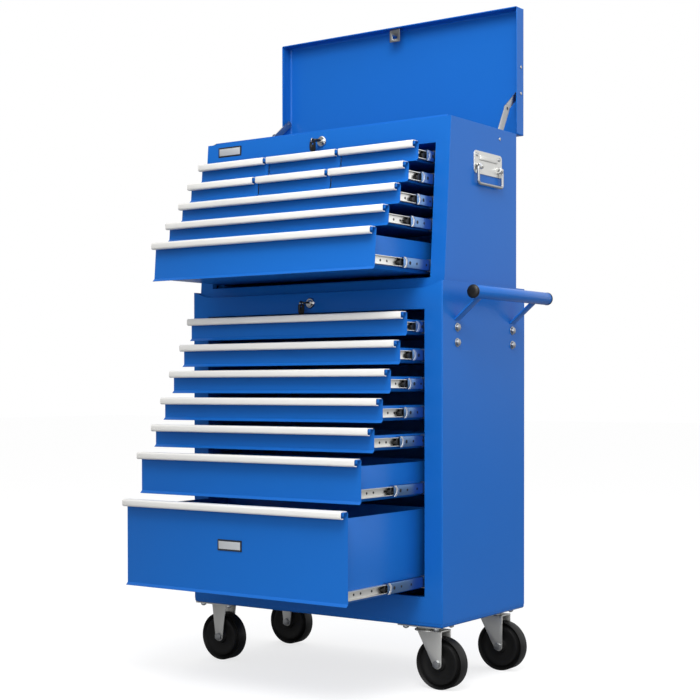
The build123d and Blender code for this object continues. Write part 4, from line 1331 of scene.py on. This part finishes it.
@dataclass
class Handles:
    """Push bar on the cabinet and drop handles on the chest."""

    shop: Workshop

    def build(self) -> None:
        """Builds the push bar and both drop handles."""
        self._push_bar()
        self._drop_handles()

    def _push_bar(self) -> None:
        """Builds the tube, its caps and its two arms."""
        lo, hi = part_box("push_handle")
        shell_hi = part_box("cabinet_shell")[1]
        radius, cap = 12.5 * MM, 6 * MM
        x, z = hi[0] - radius, hi[2] - radius
        tube = rod("push_bar_tube", "Y", radius, lo[1] + cap, hi[1] - cap, (x, z), 0.2 * MM, 64)
        arms = []
        inside = shell_hi[0] - SHEET.wall
        path = [(inside, lo[2]), (inside, z - 52 * MM), (x - 8 * MM, z - 9 * MM)]
        middle = (lo[1] + hi[1]) / 2
        for side in (-1, 1):
            y = middle + side * 110 * MM
            arms.append(fold("arm", path, "Y", y - 11 * MM, y + 11 * MM, 3 * MM, 6 * MM, 0.5 * MM))
        bar = join("push_bar_tube", [tube, *arms])
        self.shop.fit(bar, Finishes.BLUE_POWDER_COAT, "cabinet", Slot.BLUE, ["push_handle"])
        caps = []
        profile = [
            (0, radius * 1.04),
            (cap * 0.45, radius * 1.04),
            (cap * 0.85, radius * 0.82),
            (cap, radius * 0.4),
            (cap, 0),
        ]
        for side, start in ((-1, lo[1] + cap), (1, hi[1] - cap)):
            turned = [(0, 0)] + [(side * h, r) for h, r in profile]
            caps.append(lathe("cap", turned, "Y", (x, start, z), 48, 0.4 * MM))
        self.shop.fit(join("push_bar_caps", caps), Finishes.BLACK_NYLON_AND_HOLE_SHADE, "cabinet")

    def _drop_handles(self) -> None:
        """Builds the plates, bosses and hanging grips."""
        lo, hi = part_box("drop_handle_plates")
        shell_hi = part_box("chest_shell")[1]
        face = shell_hi[0]
        grip_lo, grip_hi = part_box("drop_handle_grip_right")
        axis_x = (grip_lo[0] + grip_hi[0]) / 2
        axis_z = grip_hi[2] - 3 * MM
        middle = (lo[1] + hi[1]) / 2
        plate = block("plate", (face, lo[1], lo[2]), (face + 1.5 * MM, hi[1], hi[2]), 0.0)

        def corner(c: Vector) -> bool:
            """Tells whether an edge is one of the plate's four short corner edges."""
            return abs(abs(c.y - middle) - (hi[1] - middle)) < 1e-5 and abs(c.x - face - 0.75 * MM) < 1e-5

        pick(plate, "EDGE", corner)
        bpy.ops.mesh.bevel(offset=8 * MM, segments=6)
        bpy.ops.object.mode_set(mode="OBJECT")
        soften(plate, 0.5 * MM)
        parts = [plate]
        for side in (-1, 1):
            outer = middle + side * 44 * MM
            ends = sorted((outer, outer - side * 9 * MM))
            parts.append(rod("boss", "Y", 5.5 * MM, ends[0], ends[1], (axis_x, axis_z), 0.6 * MM))
            foot_low = (face + 0.5 * MM, ends[0], axis_z - 5.5 * MM)
            parts.append(block("boss_foot", foot_low, (axis_x, ends[1], axis_z + 5.5 * MM), 0.5 * MM))
        ridge_low = (face + 1.0 * MM, middle - 36 * MM, hi[2] - 18 * MM)
        ridge_high = (face + 3.4 * MM, middle + 36 * MM, hi[2] - 8 * MM)
        parts.append(block("ridge", ridge_low, ridge_high, 1.1 * MM))
        right = join("drop_handle_plate_right", parts)
        left = mirrored(right, "drop_handle_plate_left")
        self.shop.fit(right, Finishes.SATIN_ZINC_SHEET, "cabinet", Slot.ZINC, ["drop_handle_plates"])
        self.shop.fit(left, Finishes.SATIN_ZINC_SHEET, "cabinet", Slot.ZINC)
        half, drop = 48 * MM, axis_z - grip_lo[2] - 3 * MM
        points = [
            (axis_x, middle - half + 13 * MM, axis_z),
            (axis_x, middle - half, axis_z),
            (axis_x, middle - half, axis_z - drop),
            (axis_x, middle + half, axis_z - drop),
            (axis_x, middle + half, axis_z),
            (axis_x, middle + half - 13 * MM, axis_z),
        ]
        right = wire("drop_handle_wire_right", points, 3 * MM, 6.0 * MM)
        left = mirrored(right, "drop_handle_wire_left")
        for grip, node in ((right, "drop_handle_grip_right"), (left, "drop_handle_grip_left")):
            self.shop.fit(grip, Finishes.ZINC_PLATED_STEEL, node, Slot.ZINC, [node])


@dataclass
class Casters:
    """Two rigid and two swivelling casters."""

    shop: Workshop
    leg_in: float = 16.0 * MM
    wall: float = 2.5 * MM
    rigid_half: float = 19.0 * MM
    foot_radius: float = 9.5 * MM
    tyre_half: float = 13.0 * MM
    hub_half: float = 15.5 * MM

    def build(self) -> None:
        """Builds all four casters."""
        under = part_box("cabinet_base_pan")[0][2]
        for place in ("front_left", "back_left", "front_right", "back_right"):
            wheel = f"caster_wheel_{place}"
            lo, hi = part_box(wheel)
            centre = (lo + hi) / 2
            self._wheel(wheel, centre, (hi[2] - lo[2]) / 2)
            if place.endswith("left"):
                self._rigid(place, centre, under)
            else:
                self._swivel(place, centre, under)
        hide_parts("rigid_caster_brackets")
        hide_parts("swivel_caster_plates")

    def _legs(self, top_low: float, top_high: float, axle: Vector, top: float) -> list[bpy.types.Object]:
        """Builds both fork legs.

        Args:
            top_low: Lower x of a leg at its top.
            top_high: Higher x of a leg at its top.
            axle: Centre of the axle.
            top: Height of the top.

        Returns:
            The legs.
        """
        round_foot = self.foot_radius
        outline = [(top_high, top)]
        a0 = self._tangent((top_high, top), (axle.x, axle.z), round_foot, 1)
        a1 = self._tangent((top_low, top), (axle.x, axle.z), round_foot, -1)
        while a1 > a0:
            a1 -= math.tau
        for step in range(15):
            a = a0 + (a1 - a0) * step / 14
            outline.append((axle.x + round_foot * math.cos(a), axle.z + round_foot * math.sin(a)))
        outline.append((top_low, top))
        legs = []
        for side in (-1, 1):
            low, high = sorted((axle.y + side * self.leg_in, axle.y + side * (self.leg_in + self.wall)))
            legs.append(prism("leg", outline, "Y", low, high, 0.6 * MM))
        return legs

    @staticmethod
    def _tangent(point: Point2, centre: Point2, radius: float, side: int) -> float:
        """Finds where a line from a point touches a circle.

        Args:
            point: The point.
            centre: Centre of the circle.
            radius: Its radius.
            side: 1 for the touch on the +X side, -1 for the other.

        Returns:
            The angle of the touching point on the circle.
        """
        dx, dz = point[0] - centre[0], point[1] - centre[1]
        reach = math.hypot(dx, dz)
        return math.atan2(dz, dx) - side * math.acos(min(1.0, radius / reach))

    def _axle(self, name: str, axle: Vector, body: str) -> None:
        """Builds an axle bolt with its nut.

        Args:
            name: Name of the piece.
            axle: Centre of the axle.
            body: The body that holds it.
        """
        half = self.leg_in + self.wall
        at = (axle.x, axle.z)
        parts = [
            rod("axle", "Y", 5 * MM, axle.y - half, axle.y + half + 7 * MM, at, 0.6 * MM, 24),
            rod("head", "Y", 8.2 * MM, axle.y - half - 5.2 * MM, axle.y - half, at, 0.6 * MM, 6),
            rod("nut", "Y", 8.2 * MM, axle.y + half, axle.y + half + 5.2 * MM, at, 0.6 * MM, 6),
        ]
        self.shop.fit(join(name, parts), Finishes.ZINC_PLATED_STEEL, body, Slot.ZINC)

    def _rigid(self, place: str, centre: Vector, under: float) -> None:
        """Builds a rigid bracket.

        Args:
            place: Which corner.
            centre: Centre of the wheel.
            under: Height of the cabinet's underside.
        """
        low = (centre.x - 46 * MM, centre.y - 40 * MM, under - self.wall)
        high = (centre.x + 46 * MM, centre.y + 40 * MM, under)
        parts = [block("plate", low, high, 0.6 * MM)]
        half = self.rigid_half
        parts += self._legs(centre.x - half, centre.x + half, centre, under - self.wall)
        name = f"rigid_caster_{place}"
        self.shop.fit(join(name, parts), Finishes.SATIN_ZINC_SHEET, "cabinet", Slot.ZINC)
        self._axle(f"caster_axle_{place}", centre, "cabinet")

    def _swivel(self, place: str, centre: Vector, under: float) -> None:
        """Builds a swivelling caster's plate and fork.

        Args:
            place: Which corner.
            centre: Centre of the wheel.
            under: Height of the cabinet's underside.
        """
        node = f"caster_fork_{place}"
        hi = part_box(node)[1]
        pin = Vector((centre.x - 30 * MM, centre.y))
        plate = block(
            "plate",
            (pin.x - 46 * MM, pin.y - 40 * MM, under - self.wall),
            (pin.x + 46 * MM, pin.y + 40 * MM, under),
            0.6 * MM,
        )
        race_top, race_foot = under - self.wall, hi[2] + 0.6 * MM
        profile = [
            (0, 0),
            (0, 27 * MM),
            (-2.6 * MM, 27 * MM),
            (-4.4 * MM, 24 * MM),
            (race_foot - race_top, 22 * MM),
            (race_foot - race_top, 0),
        ]
        race = lathe("race", profile, "Z", (pin.x, pin.y, race_top), 48, 0.4 * MM)
        stub = rod("kingpin", "Z", 5.6 * MM, hi[2] - 7 * MM, race_foot + 1 * MM, tuple(pin), 0.4 * MM, 24)
        head = rod("kingpin_nut", "Z", 9.5 * MM, hi[2] - 7.2 * MM, hi[2] - 3.1 * MM, tuple(pin), 0.6 * MM, 6)
        fixed = join(f"swivel_plate_{place}", [plate, race, stub, head])
        self.shop.fit(fixed, Finishes.SATIN_ZINC_SHEET, "cabinet", Slot.ZINC)
        half = self.leg_in + self.wall
        heel, toe = pin.x - 16 * MM, centre.x + self.foot_radius
        crown_low = (heel, centre.y - half, hi[2] - self.wall)
        crown = block("crown", crown_low, (toe, centre.y + half, hi[2]), 0.8 * MM)
        cup = [
            (-self.wall, 6.2 * MM),
            (0, 6.2 * MM),
            (0, 26 * MM),
            (-0.8 * MM, 27 * MM),
            (-self.wall, 27 * MM),
        ]
        disc = lathe("disc", [*cup, cup[0]], "Z", (pin.x, pin.y, hi[2]), 48, 0.3 * MM)
        hole = rod("hole", "Z", 6.2 * MM, hi[2] - 6 * MM, hi[2] + 4 * MM, tuple(pin), 0.0, 32)
        subtract(crown, hole)
        parts = [crown, disc] + self._legs(heel, toe, centre, hi[2] - 0.2 * MM)
        fork = join(f"caster_fork_sheet_{place}", parts)
        self.shop.fit(fork, Finishes.SATIN_ZINC_SHEET, node, Slot.ZINC, [node])
        self._axle(f"caster_axle_{place}", centre, node)

    def _wheel(self, node: str, centre: Vector, radius: float) -> None:
        """Builds a wheel: solid tyre with a dished face, and its hub.

        Args:
            node: Name of the wheel's CAD node, which is also its body.
            centre: Centre of the wheel.
            radius: Its radius.
        """
        half, hub = self.tyre_half, self.hub_half
        profile = [(-hub, 5.2 * MM), (-hub, 13 * MM), (-half + 3 * MM, 15 * MM), (-half + 2 * MM, 30 * MM)]
        profile += [(-half, 34 * MM), (-half, 40 * MM)]
        crown = 7 * MM
        for step in range(7):
            a = math.pi / 2 * step / 6
            inward = crown * (1 - math.cos(math.pi / 2 - a))
            profile.append((-half + inward, radius - crown * (1 - math.sin(a))))
        profile += [(-h, r) for h, r in reversed(profile)]
        unique = [profile[0]]
        for h, r in profile[1:]:
            if math.hypot(h - unique[-1][0], r - unique[-1][1]) > 1e-6:
                unique.append((h, r))
        unique.append(profile[0])
        tyre = lathe(node + "_tyre", unique, "Y", tuple(centre), 72, 0.3 * MM)
        self.shop.fit(tyre, Finishes.BLACK_RUBBER, node, Slot.RUBBER, [node])
        reach, at = hub + 0.3 * MM, (centre.x, centre.z)
        bush = rod(node + "_bush", "Y", 7.5 * MM, centre.y - reach, centre.y + reach, at, 0.3 * MM, 32)
        hole = rod("bore", "Y", 5.15 * MM, centre.y - 20 * MM, centre.y + 20 * MM, at, 0.0, 32)
        subtract(bush, hole)
        self.shop.fit(bush, Finishes.ZINC_PLATED_STEEL, node, Slot.ZINC)


@dataclass
class Locks:
    """Keyed locks in both top rails."""

    shop: Workshop

    def build(self) -> None:
        """Builds both locks with their keys."""
        for place in ("cabinet", "chest"):
            node = f"{place}_lock_plug_and_keys"
            self._housing(place)
            self._plug(place, node)
        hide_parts("lock_housings")

    @staticmethod
    def _spot(place: str) -> Vector:
        """Finds the middle of a lock's front face.

        Args:
            place: cabinet or chest.

        Returns:
            The point.
        """
        lo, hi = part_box("lock_housings")
        low, high = lo[2] + 11 * MM, hi[2] - 11 * MM
        if place == "cabinet":
            return Vector((0, lo[1] + 3 * MM, low))
        return Vector((0, hi[1] - 20 * MM, high))

    def _housing(self, place: str) -> bpy.types.Object:
        """Builds the bezel and barrel.

        Args:
            place: cabinet or chest.

        Returns:
            The housing.
        """
        spot = self._spot(place)
        profile = [
            (0, 9 * MM),
            (0, 11 * MM),
            (-1.2 * MM, 11 * MM),
            (-3 * MM, 9.2 * MM),
            (-3 * MM, 6.6 * MM),
            (20 * MM, 6.6 * MM),
            (20 * MM, 8.9 * MM),
            (0, 8.9 * MM),
        ]
        housing = lathe(f"lock_housing_{place}", profile, "Y", tuple(spot), 48, 0.3 * MM)
        return self.shop.fit(housing, Finishes.POLISHED_CHROME, "cabinet", Slot.CHROME)

    def _plug(self, place: str, node: str) -> None:
        """Builds the plug, cam, key, ring and spare key.

        Args:
            place: cabinet or chest.
            node: CAD node of the lock's plug, which is also its body.
        """
        spot = self._spot(place)
        front = spot.y - 4.2 * MM
        plug = rod("plug", "Y", 6.45 * MM, front, spot.y + 20.7 * MM, (0, spot.z), 0.4 * MM)
        cam_low = (-6 * MM, spot.y + 20.7 * MM, spot.z - 18 * MM)
        cam = block("cam", cam_low, (6 * MM, spot.y + 22.7 * MM, spot.z + 6.5 * MM), 0.4 * MM)
        metal = join(f"lock_plug_{place}", [plug, cam])
        self.shop.fit(metal, Finishes.POLISHED_CHROME, node, Slot.KEY, [node])
        bow_y = front - 17 * MM
        neck_low = (-4 * MM, bow_y + 6 * MM, spot.z - 1 * MM)
        neck = block("neck", neck_low, (4 * MM, front + 1 * MM, spot.z + 1 * MM), 0.3 * MM)
        ring_at = Vector((0, bow_y - 10.03 * MM, spot.z - 2 * MM))
        key = join(f"keys_{place}", [neck, self._ring(ring_at)])
        self.shop.fit(key, Finishes.NICKEL_SILVER, node, Slot.KEY)
        heads = [self._bow(Vector((0, bow_y, spot.z))), self._spare(ring_at - Vector((0, 0, 5.7 * MM)))]
        self.shop.fit(join(f"key_heads_{place}", heads), Finishes.BLACK_NYLON_AND_HOLE_SHADE, node)

    @staticmethod
    def _ring(centre: Vector) -> bpy.types.Object:
        """Builds the split ring.

        Args:
            centre: Centre of the ring.

        Returns:
            The ring.
        """
        bpy.ops.object.select_all(action="DESELECT")
        bpy.ops.mesh.primitive_torus_add(
            major_radius=4.5 * MM,
            minor_radius=0.9 * MM,
            major_segments=40,
            minor_segments=12,
            location=centre,
            rotation=(0, math.pi / 2, 0),
        )
        ring = bpy.context.active_object
        bpy.ops.object.transform_apply(location=True, rotation=True, scale=True)
        bpy.ops.object.shade_smooth_by_angle(angle=math.radians(40))
        return ring

    @staticmethod
    def _bow(centre: Vector) -> bpy.types.Object:
        """Builds the moulded head of the key in the lock, with its ring hole.

        Args:
            centre: Centre of the head.

        Returns:
            The key head.
        """
        low, high = centre.z - 1.5 * MM, centre.z + 1.5 * MM
        head = rod("key_head", "Z", 10.8 * MM, low, high, (centre.x, centre.y), 0.7 * MM, 40)
        hole = rod("hole", "Z", 3 * MM, low - MM, high + MM, (centre.x, centre.y - 6 * MM), 0.0, 24)
        subtract(head, hole)
        return head

    @staticmethod
    def _spare(hole_at: Vector) -> bpy.types.Object:
        """Builds the spare key, folded shut.

        Args:
            hole_at: Middle of its ring hole.

        Returns:
            The spare key.
        """
        half, top, foot, corner = 7 * MM, hole_at.z + 4.5 * MM, hole_at.z - 16.5 * MM, 6 * MM
        middle = (top + foot) / 2
        loop = [(0, top), (-half, top), (-half, foot), (half, foot), (half, top), (0, top)]
        outline = rounded(loop, corner, 6)[:-1]
        low, high = hole_at.y - 1.5 * MM, hole_at.y + 1.5 * MM
        key = prism("spare_key", outline, "Y", low, high, 0.5 * MM)
        hole = rod("hole", "Y", 2.5 * MM, low - MM, high + MM, (hole_at.x, hole_at.z), 0.0, 24)
        subtract(key, hole)
        proud = 0.3 * MM
        stripe = rod("key_stripe", "Y", 2.2 * MM, low - proud, high + proud, (0, middle - 3 * MM), proud, 24)
        return join("spare_key", [key, stripe])


@dataclass
class Hardware:
    """Bolts, rivets and blank badges."""

    shop: Workshop

    def build(self) -> None:
        """Builds all visible fasteners and both badges."""
        self._fasteners()
        self._badges()

    def _fasteners(self) -> None:
        """Builds caster nuts, handle bolts and rivets."""
        parts = []
        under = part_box("cabinet_base_pan")[0][2]
        for place in ("front_left", "back_left", "front_right", "back_right"):
            lo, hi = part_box(f"caster_wheel_{place}")
            centre = (lo + hi) / 2
            shift = 30 * MM if place.endswith("right") else 0.0
            for dx in (-34, 34):
                for dy in (-28, 28):
                    at = (centre.x - shift + dx * MM, centre.y + dy * MM)
                    parts.append(rod("nut", "Z", 5.8 * MM, under - 7.5 * MM, under - 2.5 * MM, at, 0.5 * MM, 6))
                    parts.append(rod("thread", "Z", 3 * MM, under - 9 * MM, under + 1 * MM, at, 0.5 * MM, 20))
                    parts.append(rod("head", "Z", 5.8 * MM, under + 1 * MM, under + 6 * MM, at, 0.5 * MM, 6))
        lo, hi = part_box("push_handle")
        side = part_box("cabinet_shell")[1][0]
        middle = (lo[1] + hi[1]) / 2
        for y in (middle - 110 * MM, middle + 110 * MM):
            for rise in (39.7 * MM, 10.6 * MM):
                at = (y, lo[2] + rise)
                parts.append(rod("washer", "X", 8.5 * MM, side - 0.1 * MM, side + 1.3 * MM, at, 0.3 * MM, 32))
                parts.append(rod("bolt", "X", 7 * MM, side + 1.3 * MM, side + 5 * MM, at, 0.6 * MM, 6))
                parts.append(rod("nut", "X", 7 * MM, side - 9 * MM, side - 4 * MM, at, 0.6 * MM, 6))
        lo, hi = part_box("drop_handle_plates")
        middle = (lo[1] + hi[1]) / 2
        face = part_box("chest_shell")[1][0] + 1.5 * MM
        for y in (middle - 44 * MM, middle + 44 * MM):
            for hand in (-1, 1):
                low, high = sorted((hand * (face - 0.3 * MM), hand * (face + 1.6 * MM)))
                parts.append(rod("rivet", "X", 4 * MM, low, high, (y, hi[2] - 8 * MM), 0.7 * MM, 24))
        back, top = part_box("chest_shell")[1][1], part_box("chest_shell")[1][2] - 5 * MM
        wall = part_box("chest_shell")[1][0]
        for hand in (-1, 1):
            low, high = sorted((hand * (wall - 5.6 * MM), hand * (wall + 1.2 * MM)))
            at = (back - 72 * MM, top - 20 * MM)
            parts.append(rod("stay_pin", "X", 3.4 * MM, low, high, at, 0.6 * MM, 24))
        obj = join("nuts_bolts_and_rivets", parts)
        self.shop.fit(obj, Finishes.ZINC_PLATED_STEEL, "cabinet", Slot.ZINC, ["bolts_and_rivets"])

    def _badges(self) -> None:
        """Builds the blank badges on the chest rail and on the deepest drawer."""
        lo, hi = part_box("chest_shell")
        top = hi[2] - 5 * MM
        level = top - 18.5 * MM
        face = lo[1] + CHEST_LEAN * (level - lo[2])
        self._badge("chest_badge", -240 * MM, face, level, 62 * MM, 21 * MM, "cabinet")
        lo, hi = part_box("cabinet_drawer_7")
        face, level = lo[1] + 18.5 * MM, hi[2] - 77 * MM
        self._badge("drawer_badge", -4 * MM, face, level, 58 * MM, 21 * MM, "cabinet_drawer_7")

    def _badge(self, name: str, x: float, y: float, z: float, width: float, height: float, body: str) -> None:
        """Builds one badge: a dark border round a blank bright plate.

        Args:
            name: Name of the piece.
            x: Middle of the badge.
            y: Face it is stuck to.
            z: Middle of the badge.
            width: Its width.
            height: Its height.
            body: The body it rides on.
        """
        border = block(
            name + "_border",
            (x - width / 2, y - 1.4 * MM, z - height / 2),
            (x + width / 2, y + 0.4 * MM, z + height / 2),
            0.6 * MM,
        )
        self.shop.fit(border, Finishes.DARK_BADGE_ENAMEL, body)
        inset = 3.2 * MM
        plate = block(
            name + "_plate",
            (x - width / 2 + inset, y - 2.0 * MM, z - height / 2 + inset),
            (x + width / 2 - inset, y - 1.0 * MM, z + height / 2 - inset),
            0.3 * MM,
        )
        self.shop.fit(plate, Finishes.BADGE_SILVER, body)


# ------------------------------------------------------------------ studio
@dataclass(frozen=True)
class CameraSetup:
    """Where the picture is taken from.

    Attributes:
        place: Position of the camera in metres.
        turn: Turn round the vertical axis, in degrees.
        pitch: Tilt above the horizon, in degrees.
        roll: Roll about the view direction, in degrees.
        lens: Focal length in millimetres on a 36 mm sensor.
        shift: Shift of the lens along x and y.
    """

    place: Point3 = (1.7334, -2.5371, 0.5809)
    turn: float = 35.99
    pitch: float = -0.90
    roll: float = 0.09
    lens: float = 75.25
    shift: Point2 = (0.0506, 0.0863)


@dataclass(frozen=True)
class SoftBox:
    """One square lamp.

    Attributes:
        name: Name of the light.
        place: Its position.
        target: Where it points.
        size: Its edge length in metres.
        power: Its power in watts.
    """

    name: str
    place: Point3
    target: Point3
    size: float
    power: float


SOFT_BOXES = (
    SoftBox("key", (0.9, -1.6, 2.3), (0.0, -0.1, 0.8), 1.2, 41.0),
    SoftBox("side", (2.9, 1.2, 1.5), (0.3, 0.0, 0.9), 1.5, 9.0),
    SoftBox("fill", (1.6, -3.6, 0.9), (0.0, 0.0, 0.8), 2.2, 42.0),
    SoftBox("top", (0.0, -0.2, 3.4), (0, 0, 0.9), 2.4, 16.0),
)


@dataclass(frozen=True)
class RoomLight:
    """Light of the room itself, brighter behind the object's right side and above.

    Attributes:
        toward: Direction the room is brightest in.
        dark_at: Share of that direction at which the room is darkest.
        bright_at: Share of that direction at which it is brightest.
        dark: Strength where it is darkest.
        bright: Strength where it is brightest.
    """

    toward: Point3 = (0.52, 0.56, 0.64)
    dark_at: float = -0.7
    bright_at: float = 0.8
    dark: float = 0.26
    bright: float = 1.0


class Studio:
    """Floor, light and camera."""

    def __init__(self, paint: Paintbox) -> None:
        self._paint = paint

    def build(self, setup: CameraSetup) -> None:
        """Builds everything round the object.

        Args:
            setup: Where the picture is taken from.
        """
        self._floor()
        self._world(RoomLight())
        for box in SOFT_BOXES:
            self._light(box)
        self._camera(setup)

    def _floor(self) -> None:
        """Lays a pale floor."""
        bpy.ops.object.select_all(action="DESELECT")
        bpy.ops.mesh.primitive_plane_add(size=40, location=(0, 0, 0))
        floor = bpy.context.active_object
        floor.name = "studio_floor"
        floor.data.materials.append(self._paint.get(Finishes.STUDIO_FLOOR))

    @staticmethod
    def _world(light: RoomLight) -> None:
        """Fills the room with white light.

        Args:
            light: How the room's light is spread.
        """
        world = bpy.data.worlds.new("studio")
        bpy.context.scene.world = world
        world.use_nodes = True
        nodes, links = world.node_tree.nodes, world.node_tree.links
        room = nodes["Background"]
        where = nodes.new("ShaderNodeTexCoord")
        along = nodes.new("ShaderNodeVectorMath")
        along.operation = "DOT_PRODUCT"
        along.inputs[1].default_value = light.toward
        links.new(where.outputs["Generated"], along.inputs[0])
        level = nodes.new("ShaderNodeMapRange")
        level.inputs["From Min"].default_value = light.dark_at
        level.inputs["From Max"].default_value = light.bright_at
        level.inputs["To Min"].default_value = light.dark
        level.inputs["To Max"].default_value = light.bright
        links.new(along.outputs["Value"], level.inputs["Value"])
        links.new(level.outputs["Result"], room.inputs["Strength"])
        paper = nodes.new("ShaderNodeBackground")
        ray = nodes.new("ShaderNodeLightPath")
        pick_one = nodes.new("ShaderNodeMixShader")
        links.new(ray.outputs["Is Camera Ray"], pick_one.inputs[0])
        links.new(room.outputs["Background"], pick_one.inputs[1])
        links.new(paper.outputs["Background"], pick_one.inputs[2])
        for background in (room, paper):
            background.inputs["Color"].default_value = (1.0, 1.0, 1.0, 1.0)
        links.new(pick_one.outputs["Shader"], nodes["World Output"].inputs["Surface"])
        view = bpy.context.scene.view_settings
        view.view_transform = "Standard"
        view.look = "None"

    @staticmethod
    def _light(box: SoftBox) -> None:
        """Hangs a soft box.

        Args:
            box: The lamp.
        """
        bpy.ops.object.select_all(action="DESELECT")
        bpy.ops.object.light_add(type="AREA", location=box.place)
        lamp = bpy.context.active_object
        lamp.name = box.name
        lamp.data.size = box.size
        lamp.data.energy = box.power
        aim = Vector(box.target) - Vector(box.place)
        lamp.rotation_euler = aim.to_track_quat("-Z", "Y").to_euler()

    @staticmethod
    def _camera(setup: CameraSetup) -> None:
        """Sets up the camera.

        Args:
            setup: Where the picture is taken from.
        """
        bpy.ops.object.select_all(action="DESELECT")
        bpy.ops.object.camera_add(location=setup.place)
        camera = bpy.context.active_object
        camera.name = "camera"
        camera.rotation_euler = (
            math.radians(90 + setup.pitch),
            math.radians(setup.roll),
            math.radians(setup.turn),
        )
        camera.data.lens = setup.lens
        camera.data.sensor_width = 36.0
        camera.data.shift_x, camera.data.shift_y = setup.shift
        camera.data.clip_start, camera.data.clip_end = 0.05, 60.0
        bpy.context.scene.camera = camera


# ------------------------------------------------------------------ main
def drawers(shop: Workshop) -> list[Drawer]:
    """Lists every drawer.

    Args:
        shop: The workshop.

    Returns:
        The drawers.
    """
    near, far = 11.0 * MM, 13.25 * MM
    made = [Drawer(shop, f"cabinet_drawer_{row}") for row in range(1, 8)]
    made += [Drawer(shop, f"chest_drawer_{row}", CHEST_LEAN) for row in range(3, 6)]
    for row in (1, 2):
        made.append(Drawer(shop, f"chest_drawer_{row}_left", CHEST_LEAN, near, far))
        made.append(Drawer(shop, f"chest_drawer_{row}_middle", CHEST_LEAN, far, far))
        made.append(Drawer(shop, f"chest_drawer_{row}_right", CHEST_LEAN, far, near))
    return made


def main() -> None:
    """Builds the whole scene."""
    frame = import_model()
    paint = Paintbox()
    shop = Workshop(paint, frame["nodes"])
    Cabinet(shop).build()
    Chest(shop).build()
    for drawer in drawers(shop):
        drawer.build()
    Lid(shop).build()
    Handles(shop).build()
    Casters(shop).build()
    Locks(shop).build()
    Hardware(shop).build()
    Studio(paint).build(CameraSetup())


if __name__ == "__main__":
    main()
